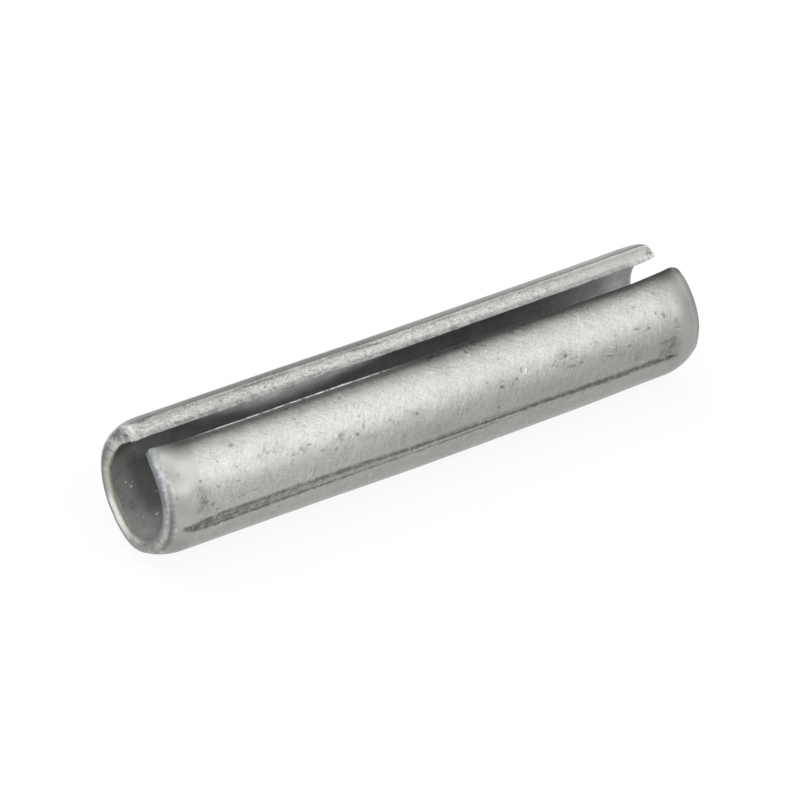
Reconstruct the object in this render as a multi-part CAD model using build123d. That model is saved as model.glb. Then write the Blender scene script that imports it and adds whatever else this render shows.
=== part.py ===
"""Slotted spring (roll) pin, 10 x 50, light duty.

One strip of spring steel rolled into a tube that does not quite close. The gap
between the two lips runs the whole length, so the pin can be squeezed into a
hole a little smaller than itself. Both ends are swaged inwards to a lead-in
taper. The pin lies on its side, slot upwards, with its axis along X and the
origin on the axis at mid-length. Millimetres.
"""

from build123d import *
import math
import os

# ---- driving dimensions ----------------------------------------------------
LENGTH = 50.0            # overall length
OUTER_RADIUS = 5.35      # free outside radius of the shank (10.7 diameter)
WALL = 1.05              # strip thickness
SLOT_HALF_ANGLE = 15.5   # degrees, from the slot's middle to each lip face

TAPER_LENGTH = 2.4       # axial length of the swaged lead-in
TAPER_DROP = 0.74        # how far the swage would come in by the very end
MOUTH_RADIUS = 3.75      # inside radius at the mouth
MOUTH_RECESS = 0.25      # the end face dishes in by this much to the mouth
RIM_OUTER_ROUND = 0.40   # rounding where the taper meets the end face
RIM_INNER_ROUND = 0.30   # rounding at the mouth, no smaller than LIP_ROUND

LIP_ROUND = 0.30         # corners of the sheared strip edges, rolled over

# ---- derived ---------------------------------------------------------------
HALF = LENGTH / 2
INNER_RADIUS = OUTER_RADIUS - WALL
MOUTH_DROP = INNER_RADIUS - MOUTH_RADIUS
MOUTH_RUN = TAPER_LENGTH - MOUTH_RECESS         # axial length of the inner swage
X_TANGENT = HALF - TAPER_LENGTH                 # where shank and swage meet
MOUTH = (HALF - MOUTH_RECESS, MOUTH_RADIUS)     # before it is rounded


def swage_radius(run, drop):
    """Radius of the arc that leaves the shank tangentially and has come in by
    `drop` after `run`."""
    return (run**2 + drop**2) / (2 * drop)


def on_swage(start, drop, run, along):
    """Point (x, r) of a swage arc, `along` past the point where it leaves the
    shank at radius `start`."""
    swage = swage_radius(run, drop)
    return (X_TANGENT + along, start - swage + math.sqrt(swage**2 - along**2))


def rim():
    """The rim's rounding: where it leaves the swage, its tip at the overall
    length, and where it runs out into the straight face down to the mouth."""
    swage = swage_radius(TAPER_LENGTH, TAPER_DROP)
    hub = (X_TANGENT, OUTER_RADIUS - swage)
    x = HALF - RIM_OUTER_ROUND
    r = hub[1] + math.sqrt((swage - RIM_OUTER_ROUND)**2 - (x - hub[0])**2)
    lean = math.atan2(r - hub[1], x - hub[0])
    on_skin = (hub[0] + swage * math.cos(lean), hub[1] + swage * math.sin(lean))
    reach = math.hypot(x - MOUTH[0], r - MOUTH[1])
    heading = math.atan2(r - MOUTH[1], x - MOUTH[0]) - math.asin(RIM_OUTER_ROUND / reach)
    face = math.sqrt(reach**2 - RIM_OUTER_ROUND**2)
    on_face = (MOUTH[0] + face * math.cos(heading), MOUTH[1] + face * math.sin(heading))
    return on_skin, (HALF, r), on_face


def mirrored(point):
    return (-point[0], point[1])


def wall_section():
    """Closed section of the wall in the (x, r) plane, both ends swaged."""
    outer_start, inner_start = (X_TANGENT, OUTER_RADIUS), (X_TANGENT, INNER_RADIUS)
    outer_mid = on_swage(OUTER_RADIUS, TAPER_DROP, TAPER_LENGTH, TAPER_LENGTH / 2)
    inner_mid = on_swage(INNER_RADIUS, MOUTH_DROP, MOUTH_RUN, MOUTH_RUN / 2)
    on_skin, tip, on_face = rim()
    with BuildSketch() as section:
        with BuildLine():
            Line(mirrored(outer_start), outer_start)
            ThreePointArc(outer_start, outer_mid, on_skin)
            ThreePointArc(on_skin, tip, on_face)
            Line(on_face, MOUTH)
            ThreePointArc(MOUTH, inner_mid, inner_start)
            Line(inner_start, mirrored(inner_start))
            ThreePointArc(mirrored(inner_start), mirrored(inner_mid), mirrored(MOUTH))
            Line(mirrored(MOUTH), mirrored(on_face))
            ThreePointArc(mirrored(on_face), mirrored(tip), mirrored(on_skin))
            ThreePointArc(mirrored(on_skin), mirrored(outer_mid), mirrored(outer_start))
        make_face()
        mouth = [v for v in section.vertices() if abs(v.Y - MOUTH_RADIUS) < 1e-6]
        fillet(mouth, RIM_INNER_ROUND)
    return section.sketch


def rolled_strip():
    """The section swept round the axis from one lip face to the other, leaving
    the slot open at the top."""
    upright = Plane.XZ.from_local_coords(wall_section())   # r along +Z
    lip_face = upright.rotate(Axis.X, -SLOT_HALF_ANGLE)    # lip on the +Y side
    return revolve(lip_face, Axis.X, -(360 - 2 * SLOT_HALF_ANGLE))


def skin_radius(x):
    """Radius of the outer skin at position x, before rounding."""
    along = abs(x) - X_TANGENT
    if along <= 0:
        return OUTER_RADIUS
    return on_swage(OUTER_RADIUS, TAPER_DROP, TAPER_LENGTH, along)[1]


def lip_edges(solid):
    """Edges along the outer skin of the two lip faces, swages included. Each
    face's outline is smooth, so rounding these carries on all the way round
    it."""
    found = []
    for edge in solid.edges():
        points = [edge.position_at(t) for t in (0.0, 0.5, 1.0)]
        turns = [math.degrees(math.atan2(abs(p.Y), p.Z)) for p in points]
        if max(abs(t - SLOT_HALF_ANGLE) for t in turns) > 0.01:
            continue                                   # runs round the wall
        gaps = [abs(math.hypot(p.Y, p.Z) - skin_radius(p.X)) for p in points]
        if max(gaps) < 0.01:
            found.append(edge)
    return found


roll_pin = rolled_strip()
roll_pin = roll_pin.fillet(LIP_ROUND, lip_edges(roll_pin))
roll_pin.label = "roll_pin"

os.makedirs("parts", exist_ok=True)
export_step(roll_pin, "parts/roll_pin.step")
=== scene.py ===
import math

import bpy
import numpy as np
from mathutils import Matrix, Vector


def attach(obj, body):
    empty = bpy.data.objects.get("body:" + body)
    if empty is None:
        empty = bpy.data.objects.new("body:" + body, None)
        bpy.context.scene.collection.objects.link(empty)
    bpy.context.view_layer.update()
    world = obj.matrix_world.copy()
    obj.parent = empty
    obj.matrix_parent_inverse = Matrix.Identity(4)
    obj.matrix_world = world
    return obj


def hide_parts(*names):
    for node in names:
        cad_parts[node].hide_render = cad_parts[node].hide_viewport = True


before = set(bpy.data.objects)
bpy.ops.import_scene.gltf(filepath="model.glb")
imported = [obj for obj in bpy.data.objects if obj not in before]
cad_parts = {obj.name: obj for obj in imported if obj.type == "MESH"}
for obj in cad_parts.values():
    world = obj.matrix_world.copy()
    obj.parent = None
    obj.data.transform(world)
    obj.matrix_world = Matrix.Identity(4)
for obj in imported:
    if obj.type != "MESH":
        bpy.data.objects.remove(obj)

# ---------------------------------------------------------------------------
# The pin, in millimetres: axis along X, slot facing +Z, near lip on -Y.
# A turn is an angle about the axis, from the slot's middle over the -Y side.
# ---------------------------------------------------------------------------
HALF = 25.0
OUTER = 5.35
WALL = 1.05
INNER = OUTER - WALL
SLOT_HALF = math.radians(15.5)

TAPER_LENGTH = 2.4
TAPER_DROP = 0.74
MOUTH_RADIUS = 3.75
MOUTH_RECESS = 0.25
RIM_ROUND = 0.40
MOUTH_ROUND = 0.17
X_TANGENT = HALF - TAPER_LENGTH

# Where the lip faces start, in degrees from the slot's middle, at these places
# along the pin: outside and inside. The slot closes up a little at both ends.
ALONG = [-25.0, -23.4, -22.0, -17.0, -8.0, 0.0, 13.0, 20.0, 23.0, 25.0]
NEAR_OUTSIDE = [15.8, 17.6, 18.7, 19.0, 19.0, 19.2, 19.6, 19.9, 18.6, 16.8]
NEAR_INSIDE = [13.4, 13.8, 14.0, 14.4, 14.4, 14.4, 14.6, 14.8, 14.0, 13.0]
FAR_OUTSIDE = [21.0, 21.6, 22.0, 22.4, 21.8, 21.2, 21.8, 21.8, 21.4, 21.0]
FAR_INSIDE = [10.2, 9.8, 9.5, 9.4, 10.9, 11.5, 11.2, 10.4, 9.8, 10.6]
LIP_CROWN = 0.008        # the lip faces stand out this much across their middle
ROUND_OUTER = 0.10      # lip corners: outside, at the rim, at the mouth, inside
ROUND_RIM = 0.12
ROUND_MOUTH = 0.10
ROUND_INNER = 0.06

SHANK_CELLS = 312       # along the straight shank, outside; half as many inside
END_CELLS = 30          # from there round the rim to the middle of the end face
CORNER_CELLS = 3        # round each lip corner
FRONT_CELLS = 82        # round the wall from the near lip to the bottom
BACK_CELLS = 60         # from there on to the far lip
FACE_ROWS = 7           # across each lip face
# ---------------------------------------------------------------------------
# Noise
# ---------------------------------------------------------------------------
def hashed(cells, seed):
    """A number from 0 to 1 for each lattice cell, alike on every run."""
    h = (cells * np.array([374761393, 668265263, 2147483647 - 40503])).sum(-1) + seed * 1274126177
    h = (h ^ (h >> 13)) * 1103515245 & 0x7FFFFFFF
    h = (h ^ (h >> 15)) * 12345701 & 0x7FFFFFFF
    return ((h ^ (h >> 11)) & 0xFFFFFF) / float(0xFFFFFF)


def noise(points, scale, seed, octaves=1, gain=0.5):
    """Smooth value noise about zero, within one either way."""
    total = np.zeros(len(points))
    weight, norm = 1.0, 0.0
    points = np.asarray(points, float) * scale
    for octave in range(octaves):
        base = np.floor(points).astype(np.int64)
        f = points - base
        f = f * f * f * (f * (f * 6 - 15) + 10)
        value = np.zeros(len(points))
        for corner in range(8):
            step = np.array([corner & 1, corner >> 1 & 1, corner >> 2 & 1])
            share = np.prod(np.where(step, f, 1 - f), axis=-1)
            value += share * hashed(base + step, seed + 17 * octave)
        total += weight * (2 * value - 1)
        norm += weight
        weight *= gain
        points = points * 2.03 + 11.7
    return total / norm


def smooth(low, high, x):
    t = np.clip((x - low) / (high - low), 0, 1)
    return t * t * (3 - 2 * t)


def bump_at(x, turn, x0, turn0, along, round_):
    """A soft bump of height 1 at (x0, turn0 in degrees), of these half sizes in mm."""
    arc = (turn - math.radians(turn0)) * OUTER
    return np.exp(-(((x - x0) / along) ** 2) - (arc / round_) ** 2)


# ---------------------------------------------------------------------------
# The wall's outline in the (x, r) plane
# ---------------------------------------------------------------------------
def end_profile():
    """The right end as two dense paths, outside and inside, each from where
    the swage leaves the shank to the middle of the end face."""
    swage = (TAPER_LENGTH**2 + TAPER_DROP**2) / (2 * TAPER_DROP)
    hub = np.array([X_TANGENT, OUTER - swage])
    cx = HALF - RIM_ROUND
    cr = hub[1] + math.sqrt((swage - RIM_ROUND) ** 2 - (cx - hub[0]) ** 2)
    lean = math.atan2(cr - hub[1], cx - hub[0])
    mouth = np.array([HALF - MOUTH_RECESS, MOUTH_RADIUS])
    reach = math.hypot(cx - mouth[0], cr - mouth[1])
    heading = math.atan2(cr - mouth[1], cx - mouth[0]) - math.asin(RIM_ROUND / reach)
    run = TAPER_LENGTH - MOUTH_RECESS
    drop = INNER - MOUTH_RADIUS
    inner_swage = (run**2 + drop**2) / (2 * drop)

    a = np.linspace(math.pi / 2, lean, 160)
    skin = hub + swage * np.c_[np.cos(a), np.sin(a)]
    a = np.linspace(lean, heading - math.pi / 2, 60)[1:]
    rim = np.array([cx, cr]) + RIM_ROUND * np.c_[np.cos(a), np.sin(a)]

    up = np.array([math.cos(heading), math.sin(heading)])
    slope = math.asin(run / inner_swage)
    back = np.array([-math.cos(slope), math.sin(slope)])
    half_angle = math.acos(up @ back) / 2
    cut = MOUTH_ROUND / math.tan(half_angle)
    on_face = mouth + cut * up
    middle = (rim[-1] + on_face) / 2
    centre = mouth + MOUTH_ROUND / math.sin(half_angle) * (up + back) / np.linalg.norm(up + back)
    a0 = math.atan2(*(on_face - centre)[::-1])
    a1 = math.atan2(*(mouth + cut * back - centre)[::-1])
    a1 -= 2 * math.pi * (a1 > a0)
    a = np.linspace(a0, a1, 40)
    corner = centre + MOUTH_ROUND * np.c_[np.cos(a), np.sin(a)]
    x = np.linspace(corner[-1, 0], X_TANGENT, 160)[1:]
    inner = np.c_[x, INNER - inner_swage + np.sqrt(inner_swage**2 - (x - X_TANGENT) ** 2)]
    return np.r_[skin, rim, [middle]], np.r_[[middle], corner, inner][::-1]


def spaced(path, cells, tight):
    """cells + 1 points along the path, closer together towards its end."""
    step = np.r_[0, np.cumsum(np.hypot(*np.diff(path, axis=0).T))]
    t = np.linspace(0, 1, cells + 1)
    at = (t + tight * (t - t**2)) * step[-1]
    return np.c_[np.interp(at, step, path[:, 0]), np.interp(at, step, path[:, 1])]


def chain(path, shank_cells, radius):
    """Outline points from the left end face to the right one."""
    end = spaced(path, END_CELLS, 0.6)
    x = np.linspace(-X_TANGENT, X_TANGENT, shank_cells + 1)
    shank = np.c_[x, np.full(len(x), radius)]
    return np.r_[end[::-1][:-1] * [-1, 1], shank, end[1:]]


def outline():
    """Closed outline: the outside chain left to right, then the inside chain
    back. Returns its points, its outward normals, the lip corner's radius at
    each point, and for every outside point its partners inside."""
    outside, inside = end_profile()
    out = chain(outside, SHANK_CELLS, OUTER)
    inn = chain(inside, SHANK_CELLS // 2, INNER)
    points = np.r_[out, inn[-2:0:-1]]
    ahead = np.roll(points, -1, 0) - points
    ahead /= np.linalg.norm(ahead, axis=1, keepdims=True)
    tangent = ahead + np.roll(ahead, 1, 0)
    tangent /= np.linalg.norm(tangent, axis=1, keepdims=True)
    normals = np.c_[-tangent[:, 1], tangent[:, 0]]

    n_out = len(out)
    to_end = HALF - np.abs(points[:, 0])
    rounding = np.empty(len(points))
    rounding[:n_out] = ROUND_RIM + (ROUND_OUTER - ROUND_RIM) * smooth(0.3, 2.0, to_end[:n_out])
    rounding[n_out:] = ROUND_MOUTH + (ROUND_INNER - ROUND_MOUTH) * smooth(0.5, 2.0, to_end[n_out:])
    face = np.r_[0:4, n_out - 4:n_out]      # over the end face, from rim to mouth
    rounding[face] = np.interp(points[face, 1], [3.95, 4.25], [ROUND_MOUTH, ROUND_RIM])

    # 1 on the outside, 0 on the inside, in between over the end faces
    outward = np.r_[np.ones(n_out), np.zeros(len(points) - n_out)]
    face = np.abs(points[:, 0]) > HALF - MOUTH_RECESS - 0.3
    outward[face] = smooth(MOUTH_RADIUS - 0.05, MOUTH_RADIUS + 0.8, points[face, 1])

    # the inside partner of outside point k, as a pair of indices to average
    n_in = len(inn)
    index = np.r_[0, np.arange(len(points) - 1, n_out - 1, -1), n_out - 1]
    assert len(index) == n_in
    first, second = np.empty(n_out, int), np.empty(n_out, int)
    for k in range(n_out):
        if k <= END_CELLS:
            low = high = k
        elif k >= n_out - 1 - END_CELLS:
            low = high = n_in - 1 - (n_out - 1 - k)
        else:
            low = END_CELLS + (k - END_CELLS) // 2
            high = low + (k - END_CELLS) % 2
        first[k], second[k] = index[low], index[high]
    return points, normals, rounding, outward, n_out, first, second


# ---------------------------------------------------------------------------
# Shape of this pin, beyond the plain revolve
# ---------------------------------------------------------------------------
def lip_turns(x, outward):
    """Turn of the near and far lip faces at x. The faces slant: the slot is
    wider outside than inside. The lips' corners in plan are rounded off."""
    def at(inside, outside):
        return np.radians(np.interp(x, ALONG, inside) * (1 - outward) + np.interp(x, ALONG, outside) * outward)

    def cut(to_end, radius):
        depth = np.clip(1 - to_end / radius, 0, 1)
        return radius * (1 - np.sqrt(1 - depth**2)) / OUTER

    left, right = HALF + x, HALF - x
    near = at(NEAR_INSIDE, NEAR_OUTSIDE) + cut(left, 0.42) + cut(right, 0.75) * 0.8
    far = at(FAR_INSIDE, FAR_OUTSIDE) + cut(left, 0.75) * 0.8 + cut(right, 0.9) * 0.30
    return near, 2 * math.pi - far


SWAGE = (TAPER_LENGTH**2 + TAPER_DROP**2) / (2 * TAPER_DROP)
MOUTH_RUN, MOUTH_DROP = TAPER_LENGTH - MOUTH_RECESS, INNER - MOUTH_RADIUS
MOUTH_SWAGE = (MOUTH_RUN**2 + MOUTH_DROP**2) / (2 * MOUTH_DROP)


def reshape(x, r, turn):
    """Moves points of the plain revolve, still as (x, r, turn). The swage dies
    out towards the lips, and neither end is quite square."""
    side = np.sign(x)
    run = np.clip(np.abs(x) - X_TANGENT, 0, TAPER_LENGTH)
    drop_out = SWAGE - np.sqrt(SWAGE**2 - run**2)
    drop_in = MOUTH_SWAGE - np.sqrt(MOUTH_SWAGE**2 - np.minimum(run, MOUTH_RUN) ** 2)
    share = np.clip((r - INNER + drop_in) / (WALL - drop_out + drop_in), 0, 1)

    one = np.ones_like(x)
    near, far = lip_turns(x, one)
    from_near = np.degrees(np.maximum(turn - near, 0))
    from_far = np.degrees(np.maximum(far - turn, 0))
    tip = np.clip(1 - (HALF - x) / 1.0, 0, 1) ** 2          # the right end's last millimetre
    out_near = np.where(side < 0, np.exp(-from_near / 15.0), (1 - 0.30 * tip) * np.exp(-from_near / 20.0))
    out_far = np.where(side < 0, np.exp(-from_far / 14.0), (1 - 0.33 * tip) * np.exp(-((from_far / 36.0) ** 2)))
    in_near = np.exp(-from_near / 12.0)
    in_far = np.exp(-from_far / 12.0)
    lift_in = np.where(side < 0, 1.12, 0.85) * in_near + np.where(side < 0, 0.70, 1.10) * in_far
    r = r + drop_out * share * np.clip(out_near + out_far, 0, 1) + lift_in * drop_in * (1 - share)
    # the left mouth is upset thicker high on the far side
    degrees = np.degrees(turn)
    thick = 0.27 * np.exp(-(((degrees - 302) / 26.0) ** 2)) + 0.20 * np.exp(-(((degrees - 334) / 9.0) ** 2))
    thick *= smooth(-22.6, -24.4, x)
    r = r - thick * np.clip((5.0 - r) / 1.2, 0, 1)

    end = smooth(X_TANGENT - 3.0, HALF, np.abs(x))
    skew_left = 0.34 * np.exp(-(((degrees - 160) / 36.0) ** 2))
    skew_right = 0.46 * np.exp(-((from_far / 85.0) ** 2)) + np.interp(
        degrees, [17, 20, 30, 38, 46, 56, 65, 75, 95, 105, 120, 137, 160, 200],
        [0.56, 0.46, 0.22, 0.14, 0.08, 0.02, -0.04, -0.09, -0.11, -0.18, -0.15, -0.12, -0.05, 0.0])
    # the far lip's tip is worn round
    worn_tip = smooth(HALF - 0.9, HALF - 0.1, x) * np.exp(-((from_far / 24.0) ** 2))
    x = x - end * np.where(side < 0, skew_left, skew_right)
    x = x - worn_tip * (0.13 * smooth(4.50, 5.20, r))
    return x, r, turn


def mesh_parts():
    """Vertices and faces of the closed wall, with what the material needs."""
    points, normals, rounding, outward, n_out, first, second = outline()
    n = len(points)
    alpha = np.radians(np.linspace(90, 0, CORNER_CELLS + 1))
    split = math.radians(152)
    front = np.linspace(0, 1, FRONT_CELLS + 1)
    back = np.linspace(0, 1, BACK_CELLS + 1)

    x0, r0 = points.T
    near, far = lip_turns(x0, outward)
    rows = []                                   # each: inset, turn
    for a in alpha:
        rows.append((rounding * (1 - math.cos(a)), near + rounding * (1 - math.sin(a)) / r0, a))
    start = near + rounding / r0
    stop = far - rounding / r0
    for t in front[1:]:
        rows.append((np.zeros(n), start + (split - start) * t, 0.0))
    for t in back[1:-1]:
        rows.append((np.zeros(n), split + (stop - split) * t, 0.0))
    for a in alpha[::-1]:
        rows.append((rounding * (1 - math.cos(a)), far - rounding * (1 - math.sin(a)) / r0, a))

    place = []                                  # x, r, turn, lip-ness, inside-ness
    out_part = np.zeros(n)
    out_part[n_out:] = 1.0
    for inset, turn, a in rows:
        place.append(np.c_[x0 - inset * normals[:, 0], r0 - inset * normals[:, 1], turn,
                           np.full(n, math.sin(a)), out_part])
    place = np.array(place)                     # row, outline, value
    n_rows = len(place)
    vertex = np.arange(n_rows * n).reshape(n_rows, n)
    flat = place.reshape(-1, 5)

    quads, tris = [], []
    a, b = vertex[:-1], vertex[1:]
    k1 = np.roll(np.arange(n), -1)
    quads.append(np.stack([a, a[:, k1], b[:, k1], b], -1).reshape(-1, 4))

    extra = []
    count = len(flat)
    for row, outward in ((0, False), (n_rows - 1, True)):
        edge = place[row]
        partner = (edge[first] + edge[second]) / 2
        ring = vertex[row]
        ladder = [ring[:n_out]]
        for f in range(1, FACE_ROWS):
            share = f / FACE_ROWS
            between = edge[:n_out] * (1 - share) + partner * share
            crown = LIP_CROWN * math.sin(math.pi * share) / between[:, 1]
            between[:, 2] += crown if outward else -crown
            ids = np.full(n_out, -1)
            ids[1:-1] = count + np.arange(n_out - 2)
            ids[0], ids[-1] = ring[0], ring[n_out - 1]
            count += n_out - 2
            extra.append(between[1:-1])
            ladder.append(ids)
        cap_q, cap_t = [], []
        for upper, lower in zip(ladder[:-1], ladder[1:]):
            cap_q.append(np.stack([upper[1:-2], lower[1:-2], lower[2:-1], upper[2:-1]], -1))
            cap_t.append([upper[0], lower[1], upper[1]])
            cap_t.append([upper[-1], upper[-2], lower[-2]])
        last = ladder[-1]
        for k in range(n_out - 1):
            p, q = ring[first[k]], ring[second[k]]
            s, t = ring[first[k + 1]], ring[second[k + 1]]
            if k == 0:
                cap_t.append([last[0], s, last[1]])
            elif k == n_out - 2:
                cap_t.append([last[-1], last[-2], p])
            elif p == q and s == t:             # one to one
                cap_q.append(np.array([[last[k], p, s, last[k + 1]]]))
            elif p == q:                        # first half of a wide cell
                cap_t.append([last[k], p, last[k + 1]])
                cap_t.append([last[k + 1], p, t])
            else:                               # second half
                cap_t.append([last[k], q, last[k + 1]])
        cap_q = np.concatenate(cap_q)
        cap_t = np.array(cap_t)
        if outward:
            cap_q, cap_t = cap_q[:, ::-1], cap_t[:, ::-1]
        quads.append(cap_q)
        tris.append(cap_t)
    flat = np.r_[flat, np.concatenate(extra)]
    return flat, np.concatenate(quads), np.concatenate(tris), vertex, n_out
# ---------------------------------------------------------------------------
# Marks of wear
# ---------------------------------------------------------------------------
# Pits, nicks and smudges on the skin: x, turn in degrees, half length, half
# width, lean in degrees, and how dark (or, below zero, how bright).
MARKS = [
    (-18.48, 37.0, 0.23, 0.17, 0, 0.55), (-21.94, 56.3, 0.16, 0.13, 0, 0.8), (-22.13, 62.8, 0.13, 0.25, 18, 0.5), (-21.83, 75.0, 0.23, 0.18, 0, 0.8),
    (-21.24, 78.8, 0.16, 0.18, 0, 0.6), (-22.4, 67.1, 0.11, 0.25, 0, 0.4), (-22.19, 77.8, 0.22, 0.23, 0, 0.4), (-20.58, 65.4, 0.16, 0.12, 0, 0.6),
    (-18.79, 66.4, 0.25, 0.1, 0, 0.55), (-16.56, 52.4, 0.14, 0.16, 0, 0.45), (-16.06, 49.9, 0.19, 0.1, -27, 0.45), (-15.79, 52.4, 0.14, 0.12, 0, 0.5),
    (-15.1, 54.0, 0.2, 0.09, 0, 0.35), (-12.17, 57.4, 0.16, 0.13, 0, 0.65), (-13.68, 61.1, 0.14, 0.11, 0, 0.55), (-13.86, 66.6, 0.11, 0.26, 9, 0.3),
    (-18.51, 79.9, 0.36, 0.12, -13, 0.5), (-12.65, 33.7, 0.19, 0.11, 27, 0.5), (-24.14, 64.6, 0.26, 0.13, -14, 0.5), (-23.52, 45.8, 0.18, 0.12, 0, 0.25),
    (-8.29, 29.5, 0.12, 0.21, 9, 0.45), (-8.14, 26.0, 0.16, 0.09, 0, -0.5), (-9.49, 59.1, 0.2, 0.19, 0, 0.55), (-9.71, 58.3, 0.1, 0.19, 0, -0.6),
    (-7.89, 62.5, 0.23, 0.15, -23, 0.75), (-9.87, 68.5, 0.16, 0.14, 0, 0.65), (-11.12, 65.8, 0.35, 0.1, 5, 0.45), (-4.88, 60.1, 0.23, 0.13, 0, 0.4),
    (-3.16, 57.6, 0.16, 0.11, 0, 0.4), (-2.4, 62.7, 0.17, 0.15, 0, 0.65), (-3.75, 77.9, 0.23, 0.13, -10, 0.35), (-4.2, 65.2, 0.23, 0.21, 0, 0.3),
    (-0.65, 79.0, 0.18, 0.15, 0, 0.35), (3.49, 27.7, 0.23, 0.13, 33, 0.8), (3.25, 26.4, 0.19, 0.1, 24, -0.7), (3.61, 31.2, 0.18, 0.09, 58, -0.6),
    (-0.06, 34.6, 0.28, 0.08, 27, -0.5), (4.26, 57.9, 0.19, 0.13, 27, 0.5), (5.52, 65.6, 0.18, 0.16, 0, 1.0), (5.72, 61.3, 0.21, 0.09, 0, 0.4),
    (7.55, 57.1, 0.13, 0.24, 0, 0.6), (7.89, 59.7, 0.1, 0.24, 18, -0.8), (6.96, 63.5, 0.19, 0.11, -23, 0.7), (10.74, 60.6, 0.16, 0.11, 0, 0.5),
    (10.96, 56.4, 0.14, 0.1, 0, 0.35), (11.71, 58.9, 0.21, 0.16, -27, 0.95), (12.06, 69.4, 0.32, 0.11, 0, 0.55), (11.29, 61.5, 0.11, 0.08, 0, -0.5),
    (10.71, 64.9, 0.18, 0.13, 0, 0.4), (12.31, 63.3, 0.23, 0.13, 0, 0.35), (13.06, 69.5, 0.2, 0.12, 0, 0.4), (14.78, 57.3, 0.18, 0.13, 0, 0.3),
    (16.6, 57.4, 0.18, 0.11, 0, 0.35), (15.76, 72.3, 0.37, 0.08, 19, 0.55), (15.82, 71.1, 0.37, 0.06, 19, -0.5), (16.08, 66.0, 0.32, 0.07, 20, -0.45),
    (17.73, 70.6, 0.25, 0.13, 0, 0.65), (18.63, 58.7, 0.27, 0.11, 9, 0.7), (19.77, 61.8, 0.17, 0.14, 0, 0.8), (20.69, 51.6, 0.16, 0.14, 0, 0.55),
    (19.76, 49.0, 0.11, 0.16, 0, 0.35), (21.41, 55.8, 0.11, 0.24, 13, 0.7), (22.38, 63.6, 0.11, 0.23, 11, 0.55), (22.4, 69.5, 0.35, 0.08, 13, 0.45),
    (22.46, 71.9, 0.34, 0.08, 10, -0.35), (22.9, 49.1, 0.16, 0.14, 0, 0.35), (18.88, 89.9, 0.32, 0.09, 17, -0.6), (21.09, 79.3, 0.53, 0.2, -5, 0.5),
    (21.93, 79.4, 0.3, 0.29, 0, 0.5), (21.62, 86.7, 0.54, 0.24, -23, 0.30), (20.87, 88.9, 0.38, 0.16, -40, 0.5), (21.75, 96.8, 0.40, 0.22, 4, 0.62),
    (21.91, 84.6, 0.27, 0.39, 0, 0.4), (17.37, 33.8, 0.2, 0.1, -37, -0.4), (18.95, 40.6, 0.19, 0.1, 27, 0.35), (18.4, 41.5, 0.13, 0.16, 0, 0.35),
    (14.02, 32.1, 0.09, 0.36, 11, -0.45), (13.9, 28.6, 0.26, 0.07, 23, -0.45), (14.03, 39.7, 0.11, 0.23, 0, -0.4), (8.27, 37.2, 0.12, 0.09, 0, -0.4),
    (5.1, 32.9, 0.21, 0.1, 0, -0.5), (-7.25, 57.5, 0.16, 0.24, 0, 0.3), (23.44, 26.4, 0.24, 0.09, -48, 0.45), (24.26, 25.3, 0.14, 0.34, 19, -0.25),
    (23.9, 69.0, 0.21, 0.17, 0, 0.3), (21.4, 86.5, 1.0, 0.60, -20, 0.20), (-22.0, 69.0, 0.40, 1.10, 0, 0.12), (-14.8, 52.5, 0.7, 0.35, 0, 0.18),
    (-12.6, 58.0, 0.5, 0.4, 0, 0.2), (11.6, 58.0, 0.8, 0.35, 0, 0.16), (-23.05, 95.9, 0.60, 0.27, 0, 0.42),
    (0.5, 21.6, 0.36, 0.10, 0, 0.65), (2.9, 21.5, 0.26, 0.09, 0, 0.65), (4.5, 21.4, 0.34, 0.10, 5, 0.75), (-12.9, 23.4, 0.30, 0.10, 0, 0.6),
    (9.3, 22.0, 0.30, 0.10, 0, 0.5),
]

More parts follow.
